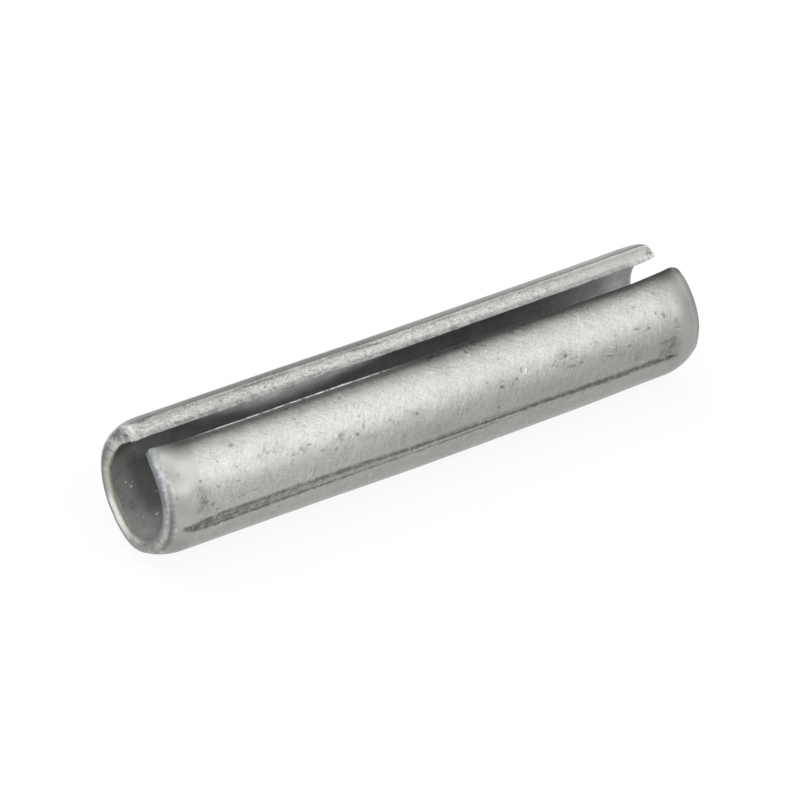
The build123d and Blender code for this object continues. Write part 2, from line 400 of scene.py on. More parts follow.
# The same on the far slot face, with the radius in place of the turn.
FACE_MARKS = [
    (-24.55, 4.41, 0.1, 0.1, 0, 0.7), (-24.36, 4.69, 0.1, 0.42, 12, -0.5), (-24.31, 4.35, 0.08, 0.12, 30, 0.7), (-24.04, 4.52, 0.1, 0.14, -30, 0.6),
    (-23.78, 4.26, 0.5, 0.05, 0, -0.4), (-23.71, 4.63, 0.07, 0.3, 0, 0.4), (-23.18, 4.59, 0.62, 0.22, 0, -0.25), (-23.16, 4.8, 0.62, 0.06, 3, 0.35),
    (-22.31, 4.51, 0.16, 0.1, 20, 0.7), (-22.01, 4.45, 0.14, 0.09, 0, 0.9), (-21.88, 4.34, 0.22, 0.06, 10, 0.5), (-21.65, 4.53, 0.18, 0.08, -20, 0.75),
    (-21.38, 4.92, 0.5, 0.05, 5, 0.25), (-21.28, 4.41, 0.16, 0.09, 30, 0.8), (-20.99, 4.29, 0.12, 0.08, 0, 0.5), (-19.81, 4.45, 0.5, 0.06, -10, 0.35),
    (-17.06, 4.55, 0.08, 0.34, -8, 0.35), (-16.04, 4.43, 0.6, 0.05, 0, 0.3), (-16.04, 5.11, 0.5, 0.05, -6, 0.45), (-14.51, 4.78, 0.2, 0.07, 20, 0.4),
    (-14.25, 5.13, 0.2, 0.05, 0, -0.5), (-14.24, 4.64, 0.36, 0.2, 0, 0.3), (-13.34, 5.02, 0.5, 0.05, -2, -0.35), (-13.05, 5.13, 0.9, 0.05, -2, 0.45),
    (-9.22, 5.21, 0.16, 0.05, 0, -0.7), (-8.86, 4.59, 0.3, 0.05, -20, 0.55), (-8.67, 4.67, 0.4, 0.06, -5, -0.4), (-8.14, 5.13, 0.5, 0.05, -3, 0.4),
    (-7.88, 4.77, 0.55, 0.05, -12, 0.45), (-7.28, 5.11, 0.42, 0.05, -3, 0.5), (-7.24, 4.66, 0.1, 0.14, 25, 0.6), (-6.64, 5.22, 0.3, 0.05, -3, -0.75),
    (-4.85, 4.68, 0.07, 0.3, -15, 0.5), (-4.44, 4.45, 0.4, 0.05, -4, 0.4), (-2.33, 4.5, 0.35, 0.05, -4, 0.45), (-0.1, 4.73, 0.08, 0.3, 8, 0.2),
    (0.7, 4.76, 0.09, 0.26, 8, 0.25), (1.24, 5.21, 0.18, 0.05, 0, -0.4), (1.55, 4.51, 0.55, 0.07, -4, 0.7), (1.95, 5.23, 0.7, 0.05, -2, 0.5),
    (2.92, 4.49, 0.25, 0.09, 0, 0.45), (3.76, 4.45, 0.35, 0.11, 0, 0.6), (4.55, 4.66, 0.16, 0.12, 0, -0.6), (4.8, 4.57, 0.08, 0.1, 0, 0.6),
    (5.76, 4.71, 0.07, 0.34, 12, 0.35), (5.94, 4.71, 0.12, 0.26, -10, -0.35), (7.36, 4.61, 0.12, 0.12, 0, 0.35), (8.01, 4.7, 0.08, 0.3, -15, 0.25),
    (8.33, 4.46, 0.5, 0.07, 0, 0.5), (10.97, 4.75, 0.05, 0.62, -20, -0.4), (11.61, 4.54, 0.5, 0.05, 5, 0.4), (13.24, 4.41, 0.36, 0.1, 0, 0.7),
    (13.69, 4.59, 0.12, 0.14, 0, -0.4), (14.04, 4.74, 0.08, 0.16, 0, 0.6), (14.34, 4.62, 0.14, 0.1, 0, 0.55), (14.73, 4.5, 0.3, 0.06, 0, -0.35),
    (16.18, 4.38, 0.4, 0.06, 0, 0.4), (17.12, 4.4, 0.16, 0.16, 0, 0.6), (17.21, 4.62, 0.06, 0.12, 0, 0.4), (17.85, 4.58, 0.06, 0.14, 0, 0.35),
    (20.71, 4.55, 0.06, 0.14, 0, 0.3),
]


# Patches of speckled stain on the skin.
STAINS = [
    (-21.9, 71.0, 0.50, 1.10, 0, 0.75), (-22.3, 80.0, 0.60, 0.35, 0, 0.55), (-15.6, 51.5, 1.30, 0.45, -12, 0.60), (-13.0, 58.5, 0.90, 0.45, 10, 0.55),
    (-18.5, 36.0, 0.70, 0.40, 20, 0.40), (-9.4, 60.0, 0.60, 0.50, 0, 0.55), (-6.8, 67.0, 1.10, 0.40, 5, 0.35), (-2.6, 62.0, 0.90, 0.35, 10, 0.45),
    (0.8, 24.0, 1.20, 0.28, 0, 0.60), (4.4, 25.0, 1.40, 0.35, 8, 0.75), (8.6, 25.5, 1.60, 0.32, 5, 0.60), (13.5, 26.0, 2.20, 0.35, 4, 0.60),
    (18.6, 27.0, 1.40, 0.35, 3, 0.50), (6.3, 64.5, 0.90, 0.50, 0, 0.50), (11.6, 60.0, 0.70, 0.75, 0, 0.70), (12.3, 68.5, 1.00, 0.35, 0, 0.50),
    (16.3, 71.0, 1.40, 0.50, 10, 0.45), (19.3, 60.5, 0.90, 0.40, 0, 0.45), (21.6, 57.0, 0.45, 0.60, 0, 0.55), (21.5, 88.0, 0.95, 0.70, -15, 0.75),
    (19.0, 83.0, 2.20, 0.60, 0, 0.40), (10.0, 84.0, 3.00, 0.60, 0, 0.35), (-1.0, 83.0, 2.50, 0.50, 0, 0.28), (22.0, 98.0, 0.80, 0.35, 0, 0.55),
    (-11.5, 30.0, 1.40, 0.30, 6, 0.45), (-6.5, 28.0, 1.20, 0.28, 0, 0.40),
]

# Flecks of dust and darker smears in the bore, by turn again.
BORE_MARKS = [
    (-23.16, 239.8, 0.09, 0.09, 0, -1.0), (-22.80, 234.1, 0.13, 0.11, 20, -1.0), (-22.97, 236.6, 0.07, 0.07, 0, -0.7),
    (-22.62, 238.0, 0.10, 0.05, 30, -0.6), (-21.77, 197.5, 0.10, 0.10, 0, -1.0), (-21.60, 198.9, 0.07, 0.07, 0, -0.8),
    (-22.85, 199.2, 0.07, 0.07, 0, -0.7), (-20.90, 221.0, 0.07, 0.07, 0, -0.6), (-23.30, 214.0, 0.35, 0.55, 10, 0.30),
    (-22.40, 262.0, 0.60, 0.90, 0, 0.35), (-20.60, 205.0, 0.50, 0.60, 20, 0.30), (-23.60, 292.0, 1.60, 1.90, 0, 0.70),
    (-17.0, 283.0, 2.00, 0.60, 0, 0.20), (-9.0, 272.0, 0.07, 0.07, 0, -0.5),
    (6.0, 270.0, 0.08, 0.05, 0, -0.5), (15.5, 275.0, 0.07, 0.07, 0, -0.5),
]


def wear_marks(x, r, turn, inside, table):
    """How dark and how bright the marks leave each point, from 0 to 1."""
    dark, light = np.zeros(len(x)), np.zeros(len(x))
    arc = turn * OUTER
    for x0, turn0, long, wide, lean, tone in table:
        near = np.flatnonzero((np.abs(x - x0) < 2.5 * long + 1) & (np.abs(arc - math.radians(turn0) * OUTER) < 2.5 * wide + 1) & (inside < 0.5))
        dx, ds = x[near] - x0, arc[near] - math.radians(turn0) * OUTER
        c, s = math.cos(math.radians(lean)), math.sin(math.radians(lean))
        a, b = (c * dx + s * ds) / max(long, 0.13), (c * ds - s * dx) / max(wide, 0.12)
        shape = abs(tone) * np.exp(-((a**2 + b**2) ** 1.2) * 0.9)
        target = dark if tone > 0 else light
        target[near] = np.maximum(target[near], shape)
    return dark, light


def sleekness(x, turn):
    """1 where the swage has pressed the skin smooth, 0 on the shank."""
    degrees = np.degrees(turn)
    left = np.interp(degrees, [17, 39, 55, 73, 86, 110, 180, 345], [-21.5, -21.7, -22.0, -22.9, -22.9, -22.6, -22.4, -22.2])
    right = np.interp(degrees, [17, 39, 55, 73, 90, 110, 180, 345], [22.5, 22.5, 22.4, 22.1, 22.1, 22.3, 22.4, 22.4])
    points = np.c_[x, turn * OUTER, np.zeros(len(x))]
    wobble = 0.35 * noise(points, 0.9, 41, 2)
    return smooth(0.30, -0.35, x + wobble - left) + smooth(-0.30, 0.35, x + wobble - right)


def sculpt(v, normals, x, r, turn, lip, inside, reach, dark, light):
    """Displaces the surface along its normals and bends the whole pin a little."""
    v = v.copy()
    points = np.c_[x, turn * OUTER, r]
    arc = turn * OUTER
    outer = (1 - inside) * (1 - lip)
    shank = outer * (1 - np.clip(sleekness(x, turn), 0, 1))
    from_edge = (turn - lip_turns(x, np.ones_like(x))[0]) * OUTER

    rise = 0.035 * np.exp(-((x / 12.0) ** 2)) * (1 - inside)
    rise -= 0.030 * smooth(14, 20, x) * (1 - inside)
    # barrel-finished skin: slow waves, dents and the pits and nicks
    rise += outer * 0.006 * noise(points, 0.22, 11, 2)
    rise += shank * (0.0045 * noise(points, 0.9, 23, 3, 0.6) + 0.0025 * noise(points, 2.6, 31, 2, 0.6))
    rise -= shank * 0.022 * np.clip(dark, 0, 1) ** 1.3
    rise += shank * 0.010 * light
    # groove under the streak
    middle = np.interp(x, [-24, -20, -10, 0, 10, 22], [8.78, 8.66, 8.66, 8.66, 8.68, 8.80])
    wide = np.interp(x, [-24, -18, -10, -3, 22], [0.30, 0.42, 0.40, 0.16, 0.16])
    rise -= outer * 0.014 * np.exp(-(((arc - middle) / wide) ** 4)) * smooth(-24.2, -23.2, x) * smooth(21.4, 20.6, x)
    # burr along the near lip's corner
    bead = 0.55 + 0.45 * noise(points * [1, 0.4, 0], 1.6, 57, 2)
    burr = np.interp(x, [-20.5, -19, -7, -4, 1], [0, 1, 1, 0.6, 0]) * bead
    rise += (1 - inside) * 0.035 * burr * np.exp(-((from_edge / 0.16) ** 2)) * smooth(5.0, 5.2, r)
    # sheared slot faces
    sheared = lip * (1 - inside) * smooth(24.9, 24.3, np.abs(x))
    rise += sheared * (0.012 * noise(points * [0.6, 1, 1.4], 1.4, 71, 3, 0.6) + 0.006 * noise(points, 4.0, 73, 2))
    # worn, upset rims
    rim = smooth(-0.9, -0.4, reach) * smooth(1.6, 1.1, reach) * (1 - lip)
    rise += rim * (0.020 * noise(points, 0.8, 83, 3, 0.6) + 0.005 * noise(points, 3.0, 87, 2))
    rise -= outer * 0.012 * np.exp(-(((reach - 1.15) / 0.16) ** 2)) * (x < 0)
    # bore: draw lines and scale
    rise += inside * (1 - rim) * (0.008 * noise(points * [0.12, 1, 1], 1.2, 91, 2) + 0.004 * noise(points, 1.5, 97, 2))
    v += normals * rise[:, None]
    # ragged inner corner of the far slot face
    inner_lip = lip * smooth(4.75, 4.35, r) * (turn > math.pi)
    v += (inner_lip * 0.030 * noise(points * [1, 0, 0], 1.9, 61, 3, 0.7))[:, None] * normals

    v[:, 2] += 0.13 * (v[:, 0] / HALF) ** 2
    v -= (0.077 * smooth(-12, 0, v[:, 0]) * (1 - 0.6 * smooth(14, 23, v[:, 0])))[:, None] * np.array([0, 0.682, 0.731])
    return v


# ---------------------------------------------------------------------------
# Mesh
# ---------------------------------------------------------------------------
def to_frame(x, r, turn):
    return np.c_[x, -r * np.sin(turn), r * np.cos(turn)]


def vertex_normals(v, quads, tris):
    total = np.zeros_like(v)
    for corners in (quads[:, [0, 1, 2]], quads[:, [0, 2, 3]], tris):
        p, q, s = (v[corners[:, i]] for i in range(3))
        cross = np.cross(q - p, s - p)
        for i in range(3):
            for axis in range(3):
                total[:, axis] += np.bincount(corners[:, i], cross[:, axis], len(v))
    return -total / np.maximum(np.linalg.norm(total, axis=1, keepdims=True), 1e-12)


def running(points):
    """Share of the way along a line of points, 0 to 1, and its length."""
    step = np.r_[0, np.cumsum(np.linalg.norm(np.diff(points, axis=0), axis=1))]
    return step / step[-1], step[-1]


flat, quads, tris, grid, n_out = mesh_parts()
n_rows, n_line = grid.shape
x, r, turn, lip, inside = flat.T
# reach: how far each point lies from the middle line of the nearest end face,
# along the section, below zero towards the bore
outline_points = outline()[0]
step = np.hypot(*np.diff(outline_points, axis=0, append=outline_points[:1]).T)
travel = np.r_[0, np.cumsum(step)]
total_out = travel[n_out - 1]
reach_line = np.empty(n_line)
for k in range(n_line):
    if k < n_out:
        reach_line[k] = min(travel[k], total_out - travel[k])
    else:
        reach_line[k] = -min(travel[k] - total_out, travel[-1] - travel[k])
reach = np.zeros(len(flat))
reach[:n_rows * n_line] = np.tile(reach_line, n_rows)
# on the lip faces, the distance from the nearest end
loose_part = slice(n_rows * n_line, len(flat))
reach[loose_part] = np.maximum(HALF - np.abs(x[loose_part]), 0.0) + 0.35
dark, light = wear_marks(x, r, turn, inside, MARKS)
stained, _ = wear_marks(x, r, turn, inside, STAINS)
verts = to_frame(*reshape(x, r, turn))
verts = sculpt(verts, vertex_normals(verts, quads, tris), x, r, turn, lip, inside, reach, dark, light)

# layout for baking: outside, inside, then the two lip faces, one above another
middle = n_rows // 2
index_in = np.r_[0, np.arange(n_line - 1, n_out - 1, -1), n_out - 1]
share_out, long_out = running(flat[grid[middle, :n_out], :2])
share_in, _ = running(flat[grid[middle, index_in], :2])
around_out, tall_out = running(to_frame(*flat[grid[:, n_out // 2], :3].T))
around_in, _ = running(to_frame(*flat[grid[:, index_in[len(index_in) // 2]], :3].T))
GAP = 0.006
top_out = tall_out / long_out
top_in = 0.28
lip_tall = (1 - top_out - top_in - 3 * GAP) / 2
uv_out, uv_in, uv_lip = (np.zeros((len(flat), 2)) for _ in range(3))
for row in range(n_rows):
    uv_out[grid[row, :n_out]] = np.c_[share_out, np.full(n_out, around_out[row] * top_out)]
    uv_in[grid[row, index_in]] = np.c_[share_in, np.full(len(index_in), top_out + GAP + around_in[row] * top_in)]
base = top_out + top_in + 2 * GAP
partner_share = np.interp(np.arange(len(index_in)),
                          np.r_[np.arange(END_CELLS), np.arange(END_CELLS, END_CELLS + SHANK_CELLS // 2),
                                np.arange(END_CELLS + SHANK_CELLS // 2, len(index_in))],
                          share_out[np.r_[np.arange(END_CELLS), np.arange(END_CELLS, END_CELLS + SHANK_CELLS, 2),
                                          np.arange(END_CELLS + SHANK_CELLS, n_out)]])
loose = n_rows * n_line
for number, row in enumerate((0, n_rows - 1)):
    low = base + number * (lip_tall + GAP)
    uv_lip[grid[row, index_in]] = np.c_[partner_share, np.full(len(index_in), low + lip_tall)]
    uv_lip[grid[row, :n_out]] = np.c_[share_out, np.full(n_out, low)]
    for f in range(1, FACE_ROWS):
        ids = loose + np.arange(n_out - 2)
        uv_lip[ids] = np.c_[share_out[1:-1], np.full(n_out - 2, low + lip_tall * f / FACE_ROWS)]
        loose += n_out - 2
cells = (n_rows - 1) * n_line
column = np.arange(cells) % n_line
island = np.r_[np.where(column < n_out - 1, 0, 1), np.full(len(quads) - cells + len(tris), 2)]

faces = [q[::-1] for q in quads.tolist()] + [t[::-1] for t in tris.tolist()]
mesh = bpy.data.meshes.new("roll_pin_skin")
mesh.from_pydata((verts * 0.001).tolist(), [], faces)
mesh.shade_smooth()
corner_vertex = np.array([v for f in faces for v in f])
corner_face = np.repeat(np.arange(len(faces)), [len(f) for f in faces])
uv = np.stack([uv_out, uv_in, uv_lip])[island[corner_face], corner_vertex]
layer = mesh.uv_layers.new(name="OFBake")
layer.uv.foreach_set("vector", (uv * 0.996 + 0.002).astype(np.float32).ravel())


def store(name, values):
    layer = mesh.attributes.new(name, "FLOAT_VECTOR", "POINT")
    layer.data.foreach_set("vector", np.ascontiguousarray(values, np.float32).ravel())


near_edge, far_edge = lip_turns(x, np.ones_like(x))
store("unrolled", np.c_[x, turn * OUTER, r])
store("zones", np.c_[lip, inside, np.clip(reach, -3, 3)])
store("marks", np.c_[stained * (1 - lip), np.zeros(len(x)), np.clip(sleekness(x, turn), 0, 1) * (1 - inside)])
store("edges", np.c_[(turn - near_edge) * OUTER, (far_edge - turn) * OUTER, np.zeros(len(x))])

pin = bpy.data.objects.new("pin_skin", mesh)
bpy.context.scene.collection.objects.link(pin)
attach(pin, "root")
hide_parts("roll_pin")
# ---------------------------------------------------------------------------
# Material: worn, barrel-finished steel
# ---------------------------------------------------------------------------
class Graph:
    """Adds shader nodes with short calls; each returns the node's result."""

    def __init__(self, tree):
        self.tree = tree

    def put(self, kind, *inputs, **settings):
        node = self.tree.nodes.new(kind)
        for key, value in settings.items():
            setattr(node, key, value)
        for socket, value in zip(node.inputs, inputs):
            self.feed(socket, value)
        return node

    def feed(self, socket, value):
        if isinstance(value, bpy.types.NodeSocket):
            self.tree.links.new(value, socket)
        elif value is not None:
            socket.default_value = value

    def noise_colour(self, vector, scale):
        node = self.put("ShaderNodeTexNoise", vector)
        node.inputs["Scale"].default_value = scale
        return node.outputs[1]

    def shift(self, vector, colour, amount):
        """Coordinates stirred by a noise colour, up to half the amount each way."""
        centred = self.put("ShaderNodeVectorMath", colour, (0.5, 0.5, 0.5), operation="SUBTRACT").outputs[0]
        return self.put("ShaderNodeVectorMath", centred, (amount, amount, amount), vector, operation="MULTIPLY_ADD").outputs[0]

    def boxed(self, name, inputs, build):
        """Builds part of the pattern in a node group of its own; returns its results."""
        tree = bpy.data.node_groups.new(name, "ShaderNodeTree")
        for k in range(len(inputs)):
            tree.interface.new_socket(f"in {k}", in_out="INPUT", socket_type="NodeSocketFloat")
        results = build(Graph(tree), *list(tree.nodes.new("NodeGroupInput").outputs)[:len(inputs)])
        sink = tree.nodes.new("NodeGroupOutput")
        for k, result in enumerate(results):
            kind = "NodeSocketColor" if result.type == "RGBA" else "NodeSocketFloat"
            tree.interface.new_socket(f"out {k}", in_out="OUTPUT", socket_type=kind)
            tree.links.new(result, sink.inputs[k])
        return list(self.put("ShaderNodeGroup", *inputs, node_tree=tree).outputs)

    def profile(self, value, top, points):
        """A factor that depends on a distance from 0 to top, through the given points."""
        def build(g, value):
            return [g.parts(g.ramp(g.math("DIVIDE", value, top), [(d / top, (f, f, f)) for d, f in points]))[0]]
        return self.boxed("profile", [value], build)[0]

    def math(self, operation, a, b=None, c=None, clamp=False):
        return self.put("ShaderNodeMath", a, b, c, operation=operation, use_clamp=clamp).outputs[0]

    def add(self, a, b):
        return self.math("ADD", a, b)

    def sub(self, a, b):
        return self.math("SUBTRACT", a, b)

    def mul(self, a, b):
        return self.math("MULTIPLY", a, b)

    def most(self, a, b):
        return self.math("MAXIMUM", a, b)

    def span(self, value, low, high, to_low=0.0, to_high=1.0, soft=True):
        node = self.put("ShaderNodeMapRange", interpolation_type="SMOOTHSTEP" if soft else "LINEAR", clamp=True)
        for name, v in (("Value", value), ("From Min", low), ("From Max", high), ("To Min", to_low), ("To Max", to_high)):
            self.feed(node.inputs[name], v)
        return node.outputs[0]

    def noise(self, vector, scale, detail=2.0, rough=0.5, warp=0.0):
        node = self.put("ShaderNodeTexNoise")
        for name, v in (("Vector", vector), ("Scale", scale), ("Detail", detail), ("Roughness", rough), ("Distortion", warp)):
            self.feed(node.inputs[name], v)
        return node.outputs[0]

    def cells(self, vector, scale, randomness=1.0):
        node = self.put("ShaderNodeTexVoronoi")
        for name, v in (("Vector", vector), ("Scale", scale), ("Randomness", randomness)):
            self.feed(node.inputs[name], v)
        return node.outputs["Distance"], node.outputs["Color"]

    def lean(self, vector, angle, long, short, shift=0.0):
        """Coordinates for a pattern drawn out along a direction on the skin."""
        node = self.put("ShaderNodeMapping", vector, vector_type="TEXTURE")
        node.inputs["Location"].default_value = (shift, shift * 0.7, 0)
        node.inputs["Rotation"].default_value = (0, 0, math.radians(angle))
        node.inputs["Scale"].default_value = (long, short, 1)
        return node.outputs[0]

    def ramp(self, value, stops, kind="LINEAR"):
        node = self.put("ShaderNodeValToRGB", value)
        node.color_ramp.interpolation = kind
        band = node.color_ramp.elements
        for k, (position, colour) in enumerate(stops):
            stop = band[k] if k < 2 else band.new(position)
            stop.position = position
            stop.color = (*colour, 1) if len(colour) == 3 else colour
        return node.outputs[0]

    def parts(self, vector):
        return self.put("ShaderNodeSeparateXYZ", vector).outputs

    def blend(self, factor, a, b, kind="MIX"):
        node = self.put("ShaderNodeMix", data_type="RGBA", blend_type=kind)
        self.feed(node.inputs[0], factor)
        self.feed(node.inputs[6], a)
        self.feed(node.inputs[7], b)
        return node.outputs[2]

    def blend1(self, factor, a, b):
        node = self.put("ShaderNodeMix", data_type="FLOAT")
        self.feed(node.inputs[0], factor)
        self.feed(node.inputs[2], a)
        self.feed(node.inputs[3], b)
        return node.outputs[0]

    def attribute(self, name):
        return self.put("ShaderNodeAttribute", attribute_name=name).outputs["Vector"]


def line(g, away, table, patchy, x_share):
    """A dark line along the skin: rows of (x, arc, half width, strength)."""
    def build(g, away, patchy, x_share):
        values = g.parts(g.ramp(x_share, [((x + 25) / 50, (arc - 8.0, width * 2.5, strength)) for x, arc, width, strength in table]))
        off = g.math("ABSOLUTE", g.sub(away, g.add(values[0], 8.0)))
        share = g.math("DIVIDE", off, g.mul(values[1], 0.4))
        return [g.mul(g.mul(g.span(share, 1.65, 0.25), values[2]), patchy)]
    return g.boxed("line", [away, patchy, x_share], build)[0]


def spots(g, x, x_share, across, ragged, table):
    """Marks at their places, dark ones and bright ones. The rows are shared out
    between sets, in each of which the marks lie clear of one another along x."""
    sets = []
    for x0, level, long, wide, lean, tone in sorted(table):
        c, s = math.cos(math.radians(lean)), math.sin(math.radians(lean))
        half = 1.3 * math.hypot(long * c, wide * s) + 0.08
        a, b = c * c / long**2 + s * s / wide**2, 2 * c * s * (1 / long**2 - 1 / wide**2)
        d = s * s / long**2 + c * c / wide**2
        row = (x0 - half, x0 + half, ((x0 + 25) / 50, level / 36, tone * 0.5 + 0.5), (a / 1000, b / 2000 + 0.5, d / 1000))
        for group in sets:
            if row[0] > group[-1][1] + 0.25 and len(group) < 30:
                group.append(row)
                break
        else:
            sets.append([row])
    dark = light = 0.0
    for group in sets:
        starts = [0.0] + [(row[1] + 25.02) / 50 for row in group[:-1]]
        if len(group) == 1:
            starts, group = [0.0, 0.99], group * 2

        def build(g, x, x_share, across, ragged, dark, light):
            where = g.parts(g.ramp(x_share, [(p, row[2]) for p, row in zip(starts, group)], "CONSTANT"))
            form = g.parts(g.ramp(x_share, [(p, row[3]) for p, row in zip(starts, group)], "CONSTANT"))
            dx = g.sub(x, g.math("MULTIPLY_ADD", where[0], 50.0, -25.0))
            ds = g.sub(across, g.mul(where[1], 36.0))
            square = g.add(g.mul(g.mul(g.mul(dx, dx), form[0]), 1000.0), g.mul(g.mul(g.mul(ds, ds), form[2]), 1000.0))
            square = g.add(square, g.mul(g.mul(dx, ds), g.math("MULTIPLY_ADD", form[1], 2000.0, -1000.0)))
            shape = g.span(g.add(g.math("SQRT", g.most(square, 0.0)), ragged), 1.25, 0.50)
            signed = g.mul(shape, g.math("MULTIPLY_ADD", where[2], 2.0, -1.0))
            return [g.most(dark, signed), g.most(light, g.mul(signed, -1.0))]

        dark, light = g.boxed("spots", [x, x_share, across, ragged, dark, light], build)
    return dark, light


def steel():
    material = bpy.data.materials.new("zinc_steel")
    material.use_nodes = True
    g = Graph(material.node_tree)
    shader = material.node_tree.nodes["Principled BSDF"]
    skin = g.attribute("unrolled")              # x, arc, radius in mm
    x, arc, radius = g.parts(skin)
    lip, inside, reach = g.parts(g.attribute("zones"))
    stained, _, sleek = g.parts(g.attribute("marks"))
    off_near, off_far, _ = g.parts(g.attribute("edges"))
    x_share = g.math("MULTIPLY_ADD", x, 0.02, 0.5)
    turn = g.math("DIVIDE", arc, 5.35 * math.pi / 180)
    textured = g.sub(1.0, sleek)
    left = g.span(x, 1.0, -1.0)
    outer = g.mul(g.sub(1.0, inside), g.sub(1.0, lip))

    # grain of the skin
    cloud = g.noise(skin, 0.28, 3, 0.5)
    patch = g.noise(skin, 1.1, 4, 0.55, 0.3)
    grain = g.noise(skin, 4.2, 4, 0.62, 0.4)
    fine = g.noise(skin, 9.5, 3, 0.6)
    stirred = g.shift(skin, g.noise_colour(skin, 1.3), 0.55)
    steep = g.noise(g.lean(stirred, -64, 1.0, 0.17), 1.0, 4, 0.65)
    shallow = g.noise(g.lean(stirred, 31, 1.1, 0.17, 9.0), 1.0, 4, 0.65)
    where = g.span(g.add(arc, g.mul(patch, 1.6)), 3.6, 6.4)
    hatch = g.blend1(where, shallow, steep)

    def about(value, amount):
        return g.math("MULTIPLY_ADD", g.sub(value, 0.5), amount, 0.0)

    relief = g.add(g.add(about(grain, 2.2), about(fine, 3.4)), about(hatch, 2.6))
    coarse = g.add(about(patch, 1.5), about(cloud, 0.8))

    # pits and bright specks
    spot, spot_id = g.cells(g.shift(skin, g.noise_colour(skin, 2.2), 0.5), 1.5)
    pick = g.parts(spot_id)
    crowd = g.span(g.noise(skin, 0.35, 2, 0.5), 0.46, 0.66)
    chosen = g.span(g.add(pick[0], g.mul(crowd, 0.35)), 0.78, 0.86)
    pit = g.mul(g.mul(g.span(spot, g.math("MULTIPLY_ADD", pick[1], 0.16, 0.12), 0.04), chosen), textured)
    speck, speck_id = g.cells(skin, 3.4)
    bright = g.mul(g.mul(g.span(speck, 0.15, 0.05), g.span(g.parts(speck_id)[0], 0.90, 0.94)), textured)
    small = g.mul(g.mul(g.span(speck, 0.20, 0.06), g.span(g.parts(speck_id)[1], 0.86, 0.92)), textured)
    # short nicks, most of them steep, each with a painted highlight on one side and painted shade on the other
    nick, nick_id = g.cells(g.lean(stirred, -62, 0.62, 0.16), 0.55)
    nick_side, _ = g.cells(g.lean(stirred, -62, 0.62, 0.16, 0.03), 0.55)
    kept = g.mul(g.span(g.parts(nick_id)[0], 0.80, 0.88), textured)
    nick_highlight = g.mul(g.span(nick, 0.30, 0.10), kept)
    nick_shade = g.mul(g.mul(g.span(nick_side, 0.42, 0.16), kept), g.sub(1.0, nick_highlight))

    # the long dark streak low on the near side
    furry = g.add(about(hatch, 0.55), about(fine, 0.35))
    patchy = g.span(g.add(g.noise(skin, 2.0, 4, 0.65, 0.5), g.add(about(grain, 0.7), about(fine, 0.9))), 0.32, 0.61, 0.28, 1.22)
    wander = g.add(g.add(g.add(arc, about(g.noise(skin, 0.9, 2, 0.5), 0.14)), about(g.noise(skin, 4.0, 4, 0.7), 0.34)), g.mul(furry, 0.45))
    upper = line(g, wander, [(-23.9, 8.95, 0.20, 0.0), (-23.62, 8.95, 0.24, 0.90), (-22.9, 8.93, 0.30, 1.0), (-22.35, 8.75, 0.26, 0.95),
                             (-21.4, 8.50, 0.18, 0.90), (-20.2, 8.44, 0.17, 0.90), (-18.0, 8.44, 0.18, 0.95), (-13.5, 8.45, 0.19, 1.0),
                             (-11.0, 8.47, 0.20, 0.90), (-8.0, 8.50, 0.24, 0.90), (-4.5, 8.54, 0.20, 0.88), (-2.0, 8.62, 0.15, 1.0),
                             (0.5, 8.67, 0.11, 1.3), (6.5, 8.72, 0.11, 1.3), (9.0, 8.76, 0.15, 1.0), (14.5, 8.86, 0.22, 0.80),
                             (17.0, 8.98, 0.24, 0.85), (20.1, 9.03, 0.24, 0.90), (20.6, 9.03, 0.18, 0.55), (21.2, 9.04, 0.22, 0.85), (21.9, 9.06, 0.18, 0.65), (22.4, 9.06, 0.10, 0.0)], patchy, x_share)
    lower = line(g, wander, [(-23.6, 9.20, 0.08, 0.0), (-23.1, 9.28, 0.15, 0.90), (-21.0, 9.32, 0.15, 0.90), (-19.0, 9.28, 0.14, 0.85),
                             (-16.0, 9.22, 0.14, 1.0), (-14.0, 9.20, 0.13, 1.0), (-11.0, 9.18, 0.11, 0.85), (-7.0, 9.15, 0.09, 0.75),
                             (-3.0, 9.13, 0.09, 0.7), (0.5, 9.10, 0.09, 0.8), (4.0, 9.10, 0.08, 0.7), (8.0, 9.15, 0.06, 0.0)], patchy, x_share)
    between = line(g, wander, [(-23.7, 8.98, 0.14, 0.0), (-22.9, 9.00, 0.36, 0.75), (-20.5, 8.96, 0.38, 0.70), (-15.0, 8.92, 0.38, 0.50),
                               (-11.0, 8.90, 0.32, 0.35), (-4.0, 8.88, 0.28, 0.22), (-2.0, 8.52, 0.24, 0.40), (1.0, 8.47, 0.23, 0.45),
                               (7.0, 8.53, 0.23, 0.45), (13.0, 8.74, 0.26, 0.42), (17.0, 8.90, 0.30, 0.45), (20.5, 8.95, 0.30, 0.45), (22.0, 9.0, 0.24, 0.30), (22.6, 9.0, 0.1, 0.0)], patchy, x_share)
    middle = line(g, wander, [(-22.9, 8.85, 0.08, 0.0), (-22.3, 8.85, 0.12, 0.85), (-19.5, 8.86, 0.11, 0.80), (-18.2, 8.86, 0.08, 0.3),
                              (-13.0, 8.90, 0.06, 0.0)], patchy, x_share)
    verge = line(g, arc, [(-24.2, 8.95, 0.30, 0.0), (-23.4, 8.95, 0.62, 0.9), (-15.0, 8.90, 0.62, 1.0), (-9.0, 8.85, 0.55, 0.9), (0.0, 8.75, 0.48, 0.9),
                          (10.0, 8.80, 0.48, 0.9), (20.5, 8.95, 0.50, 1.0), (21.6, 8.95, 0.3, 0.0)], 1.0, x_share)
    crumb, crumb_id = g.cells(g.shift(skin, g.noise_colour(skin, 3.0), 0.25), 4.6)
    crumbs = g.mul(g.mul(g.span(crumb, 0.42, 0.16), g.span(g.parts(crumb_id)[0], 0.60, 0.70)), g.mul(verge, 0.75))
